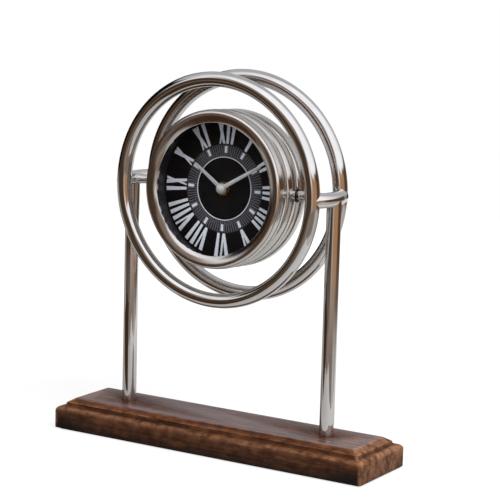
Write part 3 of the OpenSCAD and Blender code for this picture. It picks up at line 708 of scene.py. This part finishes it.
def finish_piece(item, material, body, slot, *nodes):
    """Gives a piece its finish and hands it to the frame in place of the CAD nodes."""
    item.data.materials.clear()
    item.data.materials.append(material)
    for polygon in item.data.polygons:
        polygon.material_index = 0
    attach(item, body)
    if nodes:
        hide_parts(*nodes)
    print(f"{item.name}: {len(item.data.polygons)} faces, {material.name}, rides {body}")


SIDES = {-1: "left", 1: "right"}
pin_place = {side: Matrix.Translation(pivot) @ Matrix.Rotation(side * math.pi / 2, 4, "Y") for side in SIDES}
print("pieces that come in pairs:", " and ".join(SIDES.values()))

# %% [markdown]
# ## Rings
#
# Each ring is one tube bent to a circle. It could be a torus from the menu. A Geometry Nodes tree says
# the same as the bender's sheet does, a path and a tube swept along it, and its two radii stay inputs.

# %% Rings swept by Geometry Nodes
RING_SIDES = 224
TUBE_SIDES = 48


def new_tree(name, sizes):
    """A Geometry Nodes tree with one float input for each named size: tree and its input sockets."""
    tree = bpy.data.node_groups.new(name, "GeometryNodeTree")
    for size in sizes:
        tree.interface.new_socket(size, in_out="INPUT", socket_type="NodeSocketFloat")
    tree.interface.new_socket("Geometry", in_out="OUTPUT", socket_type="NodeSocketGeometry")
    return tree, add_node(tree, "NodeGroupInput").outputs


def close_tree(tree, geometry, material):
    """Ends a tree with Realize Instances and Set Material."""
    real = add_node(tree, "GeometryNodeRealizeInstances", inputs=(geometry,))
    dressed = add_node(tree, "GeometryNodeSetMaterial", inputs={"Geometry": real, "Material": material})
    add_node(tree, "NodeGroupOutput", inputs=(dressed,))


def grow(name, tree, sizes, place):
    """Runs a tree with these sizes in mm and keeps the result as a plain mesh."""
    item = add_object(name, bpy.data.meshes.new(name))
    modifier = item.modifiers.new("grow", "NODES")
    modifier.node_group = tree
    for socket in tree.interface.items_tree:
        if socket.in_out == "INPUT":
            modifier[socket.identifier] = float(sizes[socket.name] * MM)
    bake(item)
    item.data.transform(place)
    return item


def close_tube(tree, path_line, radius, caps):
    """Ends a tree with a nickel tube of that radius along a path."""
    tube_line = add_node(tree, "GeometryNodeCurvePrimitiveCircle",
                         inputs={"Resolution": TUBE_SIDES, "Radius": radius})
    swept = add_node(tree, "GeometryNodeCurveToMesh",
                     inputs={"Curve": path_line, "Profile Curve": tube_line, "Fill Caps": caps})
    close_tree(tree, swept, mirror_nickel)


ring_tree, given = new_tree("bent tube ring", ("Ring radius", "Tube radius"))
ring_line = add_node(ring_tree, "GeometryNodeCurvePrimitiveCircle",
                     inputs={"Resolution": RING_SIDES, "Radius": given["Ring radius"]})
close_tube(ring_tree, ring_line, given["Tube radius"], caps=False)

upright = Matrix.Rotation(-math.pi / 2, 4, "X")
rings = {}
for node, y in (("front_ring", ring_y), ("back_ring", -ring_y)):
    rings[node] = grow("tube_" + node, ring_tree, {"Ring radius": ring_r, "Tube radius": tube_r},
                       shift(0, y, axis_h) @ upright)
    finish_piece(rings[node], mirror_nickel, "stand", "ring_nickel", node)

# %% [markdown]
# ## Cross bars, posts and pivot sleeves
#
# A short bar joins the rings at each side. It leaves the front ring, bows out a little and comes back
# to the rear ring, and its ends are soldered to the rings. A post comes up under each bar, and a
# sleeve runs from the bar to the drum. The bar is a path again, so Geometry Nodes sweep it along a
# Bezier segment. Every end that meets a tube is then coped to it by its neighbour, so the joints show
# as tight curved lines.

# %% Bowed cross bars by Geometry Nodes
SOLDER_GAP = 0.03
BAR_STEPS = 28
HANDLE_SHARE = 0.55
# The middle of a Bezier segment rises by three quarters of what its two handles do
HANDLE_RISE = 4 / 3
BAR_ENDS = {"Start": -1.0, "Start Handle": -HANDLE_SHARE, "End Handle": HANDLE_SHARE, "End": 1.0}
bow_tree, given = new_tree("bowed bar", ("Reach", "Bow", "Tube radius"))
handle_out = add_node(bow_tree, "ShaderNodeMath", {"operation": "MULTIPLY"}, (given["Bow"], HANDLE_RISE))
bow_points = {}
for name, reach_share in BAR_ENDS.items():
    along = add_node(bow_tree, "ShaderNodeMath", {"operation": "MULTIPLY"}, (given["Reach"], reach_share))
    outward = handle_out if "Handle" in name else 0.0
    bow_points[name] = add_node(bow_tree, "ShaderNodeCombineXYZ", inputs=(outward, along))
bow_line = add_node(bow_tree, "GeometryNodeCurvePrimitiveBezierSegment",
                    inputs={"Resolution": BAR_STEPS, **bow_points})
close_tube(bow_tree, bow_line, given["Tube radius"], caps=True)

bars = {}
for side, word in SIDES.items():
    half_turn = Matrix.Rotation(0 if side == 1 else math.pi, 4, "Z")
    bars[side] = grow(f"{word}_bar", bow_tree, {
        "Reach": abs(ring_y), "Bow": post_x - ring_r, "Tube radius": post_r + SOLDER_GAP},
        shift(side * ring_r, 0, axis_h) @ half_turn)
print("bars bow out by", round(post_x - ring_r, 1), "mm")

# %% Posts and sleeves
SLEEVE_CHAMFER = 0.4
for side, word in SIDES.items():
    post = turned(f"{word}_tube_post", tube_section(0, post_r, post_low.z, axis_h),
                  shift(side * post_x), sides=96)
    cope(post, bars[side])
    finish_piece(post, mirror_nickel, "stand", "polished_nickel", f"{word}_post")

    sleeve_low, sleeve_high = measure(f"{word}_pivot_sleeve")
    sleeve_r = (sleeve_high.z - sleeve_low.z) / 2
    sleeve_start = min(abs(sleeve_low.x), abs(sleeve_high.x))
    sleeve_section = tube_section(0, sleeve_r, sleeve_start, post_x, low_cut=SLEEVE_CHAMFER)
    sleeve = turned(f"{word}_sleeve", sleeve_section, pin_place[side], sides=72)
    cope(sleeve, bars[side])
    finish_piece(sleeve, mirror_nickel, "stand", "polished_nickel", f"{word}_pivot_sleeve")

for side, word in SIDES.items():
    cope(bars[side], *rings.values())
    finish_piece(bars[side], mirror_nickel, "stand", "polished_nickel", f"{word}_cross_bar")

# %% [markdown]
# ## Wooden base
#
# The base is a plank with a moulding run round all four sides: a flat side, a round edge, a hollow and
# a sloping bevel. A router with a profile cutter makes it in one pass, so the mesh is one section carried
# round a rectangle. Old wood isn't crisp: the edges are rubbed and dented by up to half a millimetre,
# always inwards, and each point notes how worn, how dark and how waxed it is.

# %% Section of the base
BEVEL_W = 6.2
BEVEL_H = 3.9
COVE_R = 3.2
ROLL_R = 4.5
ARC_STEPS = 8
SAWN_EDGE = 0.5
SIDE_WEAR = 0.2
SIDE_DARK = 0.75
ROLL_WEAR = 0.13
COVE_WEAR = 0.1
COVE_DARK = 0.12
# Share of the bevel's width, which is above 1 on the flat top, and how worn the wood is there
BEVEL_WEAR = ((0.06, 0.5), (0.3, 0.15), (0.6, 0.1), (0.85, 0.2), (0.97, 0.6), (1.04, 0.4), (1.3, 0.1))
half_length = base_high.x
half_width = base_high.y
base_rise = base_high.z - base_low.z
bevel_rise = base_rise - BEVEL_H
side_rise = bevel_rise - COVE_R - ROLL_R
bevel_inset = ROLL_R + COVE_R

# Each section point: inset from the side, height, how worn it gets, how much darker it gets
base_section = [(SAWN_EDGE, 0.0, 0.05, 0.9), (0.0, SAWN_EDGE, 0.1, 0.8)]
base_section += [(0.0, side_rise * part, SIDE_WEAR, SIDE_DARK * (1 - part)) for part in (0.2, 0.4, 0.6, 0.8)]
base_section += [(*point, SIDE_WEAR + ROLL_WEAR * min(step, ARC_STEPS - step), 0.0) for step, point in
                 enumerate(arc((ROLL_R, side_rise), ROLL_R, 180, 90, ARC_STEPS))]
base_section += [(*point, COVE_WEAR, COVE_DARK * min(step, ARC_STEPS - step)) for step, point in
                 enumerate(arc((ROLL_R, bevel_rise), COVE_R, -90, 0, ARC_STEPS))][1:]
base_section += [(bevel_inset + BEVEL_W * part, min(bevel_rise + BEVEL_H * part, base_rise), wear, 0.0)
                 for part, wear in BEVEL_WEAR]
print(f"section of {len(base_section)} points, side {side_rise:.1f} of {base_rise:.1f} mm")

# %% [markdown]
# The mesh is a stack of rectangles, one for each point of the section. The ends are sawn across the
# grain and are mostly rubbed bare, though their cove is darker. On the long sides the wood is darker
# near the ends, and the corners themselves are rubbed light.

# %% Outline of the base
CORNER_R = 1.6
CORNER_STEPS = 4
RUN_STEP = 2.4


def loop_points(inset):
    """Points of a rectangle with round corners, that far inside the base's outline."""
    reach_x = half_length - inset - CORNER_R
    reach_y = half_width - inset - CORNER_R
    bends = [arc((sign_x * reach_x, sign_y * reach_y), CORNER_R, start, start + 90, CORNER_STEPS)
             for sign_x, sign_y, start in ((1, -1, -90), (1, 1, 0), (-1, 1, 90), (-1, -1, 180))]
    outline = []
    for index, bend in enumerate(bends):
        (from_x, from_y), (to_x, to_y) = bend[-1], bends[(index + 1) % len(bends)][0]
        count = int(2 * (half_length if index % 2 else half_width) / RUN_STEP)
        outline += bend
        outline += [(from_x + (to_x - from_x) * k / count, from_y + (to_y - from_y) * k / count)
                    for k in range(1, count)]
    return outline


print("outline of", len(loop_points(0)), "points")

# %% Base with its moulded edge
DENT = 0.528
DENT_SIZE = 9
SIDE_CORNER_DARK = 0.5
SIDE_CORNER_REACH = 55
END_BARE = 0.55
END_SIDE_DARK = 0.35
END_COVE_DARK = 1.4
CORNER_BARE = 0.9
CORNER_DARK = 0.3
WAX_EDGE = 0.2
base_work = bmesh.new()
worn_layer, hollow_layer, wax_and_sheen_layer = [base_work.verts.layers.float.new(name)
                                         for name in ("worn", "hollow", "wax_and_sheen")]
base_rows = []
for inset, height, wear, darkness in base_section:
    on_side = height < side_rise
    row = []
    for x, y in loop_points(inset):
        dent = DENT * wear * max(0, noise.noise(Vector((x, y, height)) / DENT_SIZE))
        vertex = base_work.verts.new(Vector((
            x * (1 - dent / half_length), y * (1 - dent / half_width), base_low.z + height)) * MM)
        to_end = half_length - inset - abs(x)
        to_side = half_width - inset - abs(y)
        bare, dark = wear, darkness
        if max(to_end, to_side) < CORNER_R:
            bare, dark = CORNER_BARE, CORNER_DARK * darkness
        elif to_end < CORNER_R / 2:
            bare, dark = wear + END_BARE, darkness * (END_SIDE_DARK if on_side else END_COVE_DARK)
        elif on_side:
            dark = darkness + SIDE_CORNER_DARK * (1 - ease(0, SIDE_CORNER_REACH, to_end))
        vertex[worn_layer] = min(1, bare)
        vertex[hollow_layer] = min(1, dark)
        vertex[wax_and_sheen_layer] = ease(base_rise - WAX_EDGE * BEVEL_H, base_rise, height)
        row.append(vertex)
    base_rows.append(row)
for low_row, high_row in zip(base_rows, base_rows[1:]):
    for k in range(len(low_row)):
        after = (k + 1) % len(low_row)
        base_work.faces.new((low_row[k], low_row[after], high_row[after], high_row[k]))
base_work.faces.new(base_rows[-1])
base_work.faces.new(list(reversed(base_rows[0])))
wooden_base = to_object("moulded_base", base_work)
settle(wooden_base.data)
print("base of", len(wooden_base.data.polygons), "faces")

# %% [markdown]
# Each post stands in a socket that is bored from above, and a screw comes up from a counterbore below.
# Both bores are cut here as well, so the post sits in a real hole with a fine shadow line around it.

# %% Sockets in the base
SOCKET_GAP = 0.1
SCREW_R = 3.1
COUNTERBORE_R = 7.6
COUNTERBORE_TOP = 9.5
PAST = 2.0
socket_r = post_r + SOCKET_GAP
socket_section = [(0, -PAST), (COUNTERBORE_R, -PAST), (COUNTERBORE_R, COUNTERBORE_TOP),
                  (SCREW_R, COUNTERBORE_TOP), (SCREW_R, post_low.z), (socket_r, post_low.z),
                  (socket_r, base_high.z + PAST), (0, base_high.z + PAST)]
sockets = [turned("socket", socket_section, shift(side * post_x), sides=64) for side in SIDES]
cope(wooden_base, *sockets)
discard(*sockets)
finish_piece(wooden_base, stained_wood, "stand", "aged_wood", "wood_base")

# %% [markdown]
# ## Drum case and bezel
#
# The drum is three convex bands: two on the case, one on the bezel that slips over the case's spigot.
# Each band is a shallow arc, with a narrow groove between them. The bezel's front has a rounded edge and
# a wide face that falls back to its lip. All of it was turned, so a section is turned here too.
# Flat seats for the two pivot bushes are milled into the sides.

# %% Bands and case
BAND_EDGE = 69.5
BAND_RISE = 2.0
BAND_STEPS = 14
GROOVE = 0.8
GROOVE_DEEP = 0.9
CASE_BORE = 65.6
SPIGOT_R = 67.4
SHOULDER_R = 61.0
# Heights of the inner shoulder's two faces, and radius and height of the rear cover's seat
SHOULDER = (7.0, 9.0)
COVER_SEAT = (67.5, -13.9)
case_low, case_high = measure("drum_case", drum_place)
bezel_low, bezel_high = measure("bezel", drum_place)
drum_rear, drum_front = case_low.z, bezel_high.z
band_w = bezel_high.z - bezel_low.z
band_arc = ((band_w / 2) ** 2 + BAND_RISE ** 2) / (2 * BAND_RISE)
band_turn = math.degrees(math.asin(band_w / 2 / band_arc))
band_centre_r = BAND_EDGE + BAND_RISE - band_arc
groove_r = BAND_EDGE - GROOVE_DEEP


def band(front, low, high):
    """Outer points of a convex band that ends at front, from its rear, between two heights."""
    points = arc((band_centre_r, front - band_w / 2), band_arc, -band_turn, band_turn, BAND_STEPS)
    return [point for point in points if low < point[1] < high]


rear_edge = drum_rear + band_w
case_front = rear_edge + band_w
case_section = [(COVER_SEAT[0], drum_rear)]
case_section += band(rear_edge, drum_rear - GROOVE, rear_edge - GROOVE / 2)
case_section += [(groove_r, rear_edge - GROOVE / 2), (groove_r, rear_edge + GROOVE / 2)]
case_section += band(case_front, rear_edge + GROOVE / 2, case_front - GROOVE / 2)
case_section += [(groove_r, case_front - GROOVE / 2), (groove_r, case_front), (SPIGOT_R, case_front)]
case_section += [(SPIGOT_R, case_high.z), (CASE_BORE, case_high.z), (CASE_BORE, SHOULDER[1]),
                 (SHOULDER_R, SHOULDER[1]), (SHOULDER_R, SHOULDER[0]), (CASE_BORE, SHOULDER[0]),
                 (CASE_BORE, COVER_SEAT[1]), COVER_SEAT]
turned_case = turned("turned_case", case_section, drum_place, sides=224)
print("case turned from", len(case_section), "points")

# %% Bezel
BEZEL_BORE = 67.5
LIP_R = 59.6
LIP_CHAMFER = 0.3
DISH = 3.0
FACE_ROUND = 3.6
FACE_STEPS = 10
glass_low, glass_high = measure("glass", drum_place)
round_height = drum_front - FACE_ROUND
round_r = band_centre_r + math.sqrt(band_arc ** 2 - (band_w / 2 - FACE_ROUND) ** 2)
bezel_section = [(BEZEL_BORE, bezel_low.z), (groove_r, bezel_low.z), (groove_r, bezel_low.z + GROOVE / 2)]
bezel_section += band(drum_front, bezel_low.z + GROOVE / 2, round_height)
bezel_section += arc((round_r - FACE_ROUND, round_height), FACE_ROUND, 0, 90, FACE_STEPS)
bezel_section += [(LIP_R + LIP_CHAMFER, drum_front - DISH), (LIP_R, drum_front - DISH - LIP_CHAMFER),
                  (LIP_R, glass_high.z), (BEZEL_BORE, glass_high.z)]
turned_bezel = turned("turned_bezel", bezel_section, drum_place, sides=224)
print("bezel turned from", len(bezel_section), "points")

# %% [markdown]
# A milling cutter runs into each side of the drum to make the seat, so the same round cutter is taken
# away here. The bush's barrel goes through a hole in the middle of the seat.

# %% Bush seats
SEAT_R = 7.5
BUSH_R = 4.1
FLANGE = 1.2
CUTTER_PAST = 10
bush_low, bush_high = measure("right_pivot_bush")
seat_x = bush_high.x - FLANGE
cutter_section = [(0, SHOULDER_R), (BUSH_R, SHOULDER_R), (BUSH_R, seat_x), (SEAT_R, seat_x),
                  (SEAT_R, seat_x + CUTTER_PAST), (0, seat_x + CUTTER_PAST)]
cutters = [turned("seat_cutter", cutter_section, pin_place[side], sides=72) for side in SIDES]
cope(turned_case, *cutters)
discard(*cutters)
finish_piece(turned_case, drum_nickel, "drum", "satin_nickel", "drum_case")
finish_piece(turned_bezel, drum_nickel, "drum", "satin_nickel", "bezel")

# %% [markdown]
# ## Pivot bushes and washers
#
# A flanged, plated bush sits in each seat and turns on the pin with a black nylon washer beside it. They
# show as thin rims beside the drum, so they are turned again with more sides than the CAD mesh has.

# %% Pivot hardware
PIN_CLEAR = 2.54
BUSH_PLAY = 0.1
BUSH_CHAMFER = 0.3
WASHER_PLAY = 0.05
flange_r = (bush_high.z - bush_low.z) / 2
barrel_r = BUSH_R - BUSH_PLAY
bush_section = [(PIN_CLEAR, bush_low.x), (barrel_r, bush_low.x), (barrel_r, seat_x), (flange_r, seat_x),
                (flange_r, bush_high.x - BUSH_CHAMFER), (flange_r - BUSH_CHAMFER, bush_high.x),
                (PIN_CLEAR, bush_high.x)]
for side, word in SIDES.items():
    finish_piece(turned(f"{word}_flanged_bush", bush_section, pin_place[side], sides=72),
                 mirror_nickel, "drum", "polished_nickel", f"{word}_pivot_bush")
washer_low, washer_high = measure("pivot_washers")
washer_r = (washer_high.z - washer_low.z) / 2
washer_section = tube_section(PIN_CLEAR, washer_r, bush_high.x + WASHER_PLAY, washer_high.x)
for side, word in SIDES.items():
    finish_piece(turned(f"{word}_friction_washer", washer_section, pin_place[side], sides=72),
                 finish["moulded nylon"], "stand", "nylon", "pivot_washers")

# %% [markdown]
# ## Dial, liner and printed marks
#
# The dial is a black plate at the bottom of a deep well, and the black liner is the well's wall. White
# numerals and batons come from the CAD model, which has their true outlines. Between the batons and the
# thin circle lies a band with fine radial ticks, too small for CAD, so Geometry Nodes repeat one tick.

# %% Dial plate and liner
NECK_R = 4.0
LINER_WALL = 1.5
dial_low, dial_high = measure("dial", drum_place)
liner_low, liner_high = measure("liner_ring", drum_place)
plate_section = tube_section(NECK_R, dial_high.x, dial_low.z, dial_high.z)
liner_section = tube_section(liner_high.x - LINER_WALL, liner_high.x, liner_low.z, liner_high.z)
finish_piece(turned("dial_plate", plate_section, drum_place, sides=192),
             finish["satin black lacquer"], "drum", "black_paint", "dial")
finish_piece(turned("well_liner", liner_section, drum_place, sides=192),
             finish["black anodised aluminium"], "drum", "black_liner", "liner_ring")

# %% Ticked band by Geometry Nodes
TICKS = 96
TICK_IN = 29.4
TICK_OUT = 39.4
TICK_WIDTH = 0.8
INK = 0.06
BAND_IN = 29.0
BAND_OUT = 40.2


def box(name, size, place=world_place):
    """A box of that size in mm about the origin of place."""
    work = bmesh.new()
    bmesh.ops.create_cube(work, size=1.0, matrix=place @ Matrix.Diagonal((Vector(size) * MM).to_4d()))
    return to_object(name, work)


def grow_round(name, piece, count, radius, place, material, start=0.0, outwards=False):
    """Copies of an object round a circle, as one plain mesh. The object itself goes."""
    tree, given = new_tree(name, ("Circle radius",))
    circle = add_node(tree, "GeometryNodeMeshCircle",
                      inputs={"Vertices": count, "Radius": given["Circle radius"]})
    spots = add_node(tree, "GeometryNodeTransform",
                     inputs={"Geometry": circle, "Rotation": (0.0, 0.0, start)})
    shape = add_node(tree, "GeometryNodeObjectInfo", inputs={"Object": piece})
    copies = add_node(tree, "GeometryNodeInstanceOnPoints",
                      inputs={"Points": spots, "Instance": shape.outputs["Geometry"]})
    if outwards:
        facing = add_node(tree, "FunctionNodeAlignRotationToVector", {"axis": "Y", "pivot_axis": "Z"},
                          {"Vector": add_node(tree, "GeometryNodeInputPosition")})
        tree.links.new(facing.outputs[0], copies.inputs["Rotation"])
    close_tree(tree, copies, material)
    item = grow(name, tree, {"Circle radius": radius}, place)
    discard(piece)
    return item


ground_section = tube_section(BAND_IN, BAND_OUT, dial_high.z, dial_high.z + INK / 2)
finish_piece(turned("charcoal_band", ground_section, drum_place, sides=160),
             finish["pad printed charcoal"], "drum", "dial_white")
grey_ink = finish["pad printed grey"]
tick = box("tick", (TICK_WIDTH, TICK_OUT - TICK_IN, INK))
ticks = grow_round("ticked_band", tick, TICKS, (TICK_IN + TICK_OUT) / 2,
                   drum_place @ shift(z=dial_high.z + INK / 2), grey_ink, outwards=True)
finish_piece(ticks, grey_ink, "drum", "dial_white")

# %% [markdown]
# ## Hands and cap
#
# The hands are stamped from thin aluminium and tapered, with a low ridge along the middle that catches
# the light on one side. A flat plate would look printed, so the outline is built with a raised middle
# line. Length and direction come from the CAD hands. The blades are a little narrower and the hubs
# smaller.

# %% Hands
HAND_W = 3.8
HAND_TIP_W = 2.6
HAND_POINT = 2.0
FACET = 0.3
BLADE_SHARP = math.radians(8)
HUB_CHAMFER = 0.2
HUB_LAP = 0.3
CORE_PAST = 1
# Radius of the hub and of the bore for the tube or arbor
HUBS = {"hour": (4.8, 2.8), "minute": (4.3, 1.7)}
# Corners 0 to 4 go round the back of a blade, 5 to 9 round its rim, and 10 and 11 are the ridge
BLADE_FACES = [(0, 1, 2, 3, 4), (0, 1, 6, 5), (1, 2, 7, 6), (2, 3, 8, 7), (3, 4, 9, 8),
               (4, 0, 5, 10, 9), (5, 6, 11, 10), (6, 7, 11), (7, 8, 11), (8, 9, 10, 11)]


def join(item, other):
    """Adds another object's mesh to an object. The other goes."""
    work = bmesh.new()
    for part in (item, other):
        work.from_mesh(part.data)
    work.to_mesh(item.data)
    work.free()
    discard(other)


def hand(name, node, hub_r, bore_r):
    """A tapered hand with a ridge and a hub, as long as its CAD node and turned the same way."""
    low, high = measure(node, drum_place)
    rear, front = low.z, high.z
    back = drum_place.inverted()
    tip = max((back @ vertex.co for vertex in frame["nodes"][node].data.vertices),
              key=lambda point: point.xy.length)
    length = tip.xy.length / MM
    neck = length - HAND_POINT
    shape = [(-HAND_W / 2, 0), (-HAND_TIP_W / 2, neck), (0, length), (HAND_TIP_W / 2, neck), (HAND_W / 2, 0)]
    points = [(x, y, z) for z in (rear, front - FACET) for x, y in shape]
    points += [(0, 0, front), (0, neck, front)]
    mesh = bpy.data.meshes.new(name)
    mesh.from_pydata(points, [], BLADE_FACES)
    turn = Matrix.Rotation(-math.atan2(tip.x, tip.y), 4, "Z")
    mesh.transform(drum_place @ turn @ Matrix.Scale(MM, 4))
    settle(mesh)
    blade = add_object(name, mesh)
    hub = turned(name + "_hub", tube_section(bore_r, hub_r, rear, front, high_cut=HUB_CHAMFER),
                 drum_place, sides=48)
    core = turned(name + "_core", tube_section(0, hub_r - HUB_LAP, rear - CORE_PAST, front + CORE_PAST),
                  drum_place, sides=48)
    cope(blade, core)
    discard(core)
    join(blade, hub)
    blade.data.shade_smooth()
    blade.data.set_sharp_from_angle(angle=BLADE_SHARP)
    return blade


for body, (hub_r, bore_r) in HUBS.items():
    blade = hand(f"{body}_blade", f"{body}_hand", hub_r, bore_r)
    finish_piece(blade, finish["silver lacquered aluminium"], body, "silver_hands", f"{body}_hand")

# %% Cap
DOME_STEPS = 10
cap_low, cap_high = measure("hand_cap", drum_place)
cap_r = cap_high.x
cap_rise = cap_high.z - cap_low.z
dome_r = (cap_r ** 2 + cap_rise ** 2) / (2 * cap_rise)
dome_turn = math.degrees(math.asin(cap_r / dome_r))
cap_section = [(0, cap_low.z)]
cap_section += arc((0, cap_high.z - dome_r), dome_r, 90 - dome_turn, 90, DOME_STEPS)[:-1]
cap_section += [(0, cap_high.z)]
finish_piece(turned("domed_cap", cap_section, drum_place, sides=64),
             finish["silver lacquered aluminium"], "minute", "silver_hands", "hand_cap")

# %% [markdown]
# ## Glass disc
#
# A flat disc with ground edges. Only its front face shows inside the bezel's lip.

# %% Glass disc
GROUND_EDGE = 0.3
disc_section = tube_section(0, glass_high.x, glass_low.z, glass_high.z, GROUND_EDGE, GROUND_EDGE)
finish_piece(turned("glass_disc", disc_section, drum_place, sides=160),
             clear_glass, "drum", "clear_glass", "glass")

# %% [markdown]
# ## Rear cover, its screws and the setting knob
#
# The back of the drum is closed by a flat ring with a window for the movement. Four pan-head screws hold
# it. One head with its cross recess is modelled, and Geometry Nodes set it at the four places. The
# setting knob gets the ribs that a moulded knob has, repeated round its rim in the same way.

# %% Rear cover
WINDOW_R = 42.0
WINDOW_CHAMFER = 0.4
COVER_CHAMFER = 0.3
cover_low, cover_high = measure("rear_cover", drum_place)
cover_r = cover_high.x
cover = turned("rear_ring_cover", [
    (WINDOW_R, cover_low.z + WINDOW_CHAMFER), (WINDOW_R + WINDOW_CHAMFER, cover_low.z),
    (cover_r - COVER_CHAMFER, cover_low.z), (cover_r, cover_low.z + COVER_CHAMFER),
    (cover_r, cover_high.z), (WINDOW_R, cover_high.z)], drum_place, sides=192)
finish_piece(cover, drum_nickel, "drum", "satin_nickel", "rear_cover")

# %% Cover screws by Geometry Nodes
SCREWS = 4
HEAD_R = 2.8
HEAD_H = 1.6
HEAD_ROUND = 1.0
HEAD_STEPS = 6
SHANK_R = 1.45
RECESS_W = 0.7
RECESS_L = 3.4
RECESS_DEEP = 0.9
screws_low, screws_high = measure("cover_screws", drum_place)
head_rear, shank_front = screws_low.z, screws_high.z
head_section = [(0, head_rear)]
head_section += arc((HEAD_R - HEAD_ROUND, head_rear + HEAD_ROUND), HEAD_ROUND, -90, 0, HEAD_STEPS)
head_section += [(HEAD_R, head_rear + HEAD_H), (SHANK_R, head_rear + HEAD_H), (SHANK_R, shank_front),
                 (0, shank_front)]
screw = turned("pan_head", head_section, world_place, sides=40)
recess = [box("recess", (RECESS_L, RECESS_W, 2 * RECESS_DEEP),
              shift(z=head_rear) @ Matrix.Rotation(spin, 4, "Z")) for spin in (0, math.pi / 2)]
cope(screw, *recess)
discard(*recess)
zinc = finish["zinc plated steel"]
screw_circle = math.hypot(screws_high.x - HEAD_R, screws_high.y - HEAD_R)
screws = grow_round("pan_head_screws", screw, SCREWS, screw_circle, drum_place, zinc,
                    start=math.pi / SCREWS)
finish_piece(screws, zinc, "drum", "zinc_steel", "cover_screws")

# %% Ribbed setting knob by Geometry Nodes
KNOB_RIBS = 30
RIB_R = 0.42
RIB_SIDES = 8
RIB_SHORTER = 1.0
CORE_INSET = 0.45
CORE_CHAMFER = 0.75
knob_low, knob_high = measure("setting_knob", drum_place)
knob_mid = (knob_low + knob_high) / 2
knob_r = (knob_high.x - knob_low.x) / 2
core_r = knob_r - CORE_INSET
knob_place = drum_place @ shift(knob_mid.x, knob_mid.y)
core_section = tube_section(0, core_r, knob_low.z, knob_high.z, low_cut=CORE_CHAMFER)
knob_core = turned("knob_core", core_section, knob_place, sides=72)
rib = turned("rib", tube_section(0, RIB_R, knob_low.z + RIB_SHORTER, knob_high.z), world_place,
             sides=RIB_SIDES)
black_abs = finish["moulded black ABS"]
knob = grow_round("ribbed_knob", rib, KNOB_RIBS, knob_r - RIB_R, knob_place, black_abs)
join(knob, knob_core)
finish_piece(knob, black_abs, "setting", "movement_plastic", "setting_knob")

# %% [markdown]
# ## Pieces that keep their CAD shape
#
# Numerals, batons, gears, the movement and the fixings have their true shapes already. Their meshes stay
# as they are and only take the finish of the real material.

# %% Finishes on CAD nodes
CAD_FINISHES = {
    "wool felt": ("base_felt",),
    "pad printed white": ("dial_numerals", "dial_markers"),
    "turned brass": ("pivot_nuts", "dial_nut", "minute_arbor", "hour_wheel", "motion_wheel"),
    "zinc plated steel": ("post_plugs", "post_washers", "post_screws", "left_pivot_pin",
                          "right_pivot_pin", "motor_stator", "cell_contacts"),
    "moulded black ABS": ("movement_housing", "movement_lid", "setting_arbor"),
    "sheet rubber": ("movement_seal",),
    "glass fibre laminate": ("circuit_board",),
    "enamelled copper wire": ("motor_coil",),
    "shrink film": ("dry_cell",),
}
for name, nodes in CAD_FINISHES.items():
    for node in nodes:
        mesh = frame["nodes"][node].data
        mesh.materials.clear()
        mesh.materials.append(finish[name])
    print(name, "on", ", ".join(nodes))
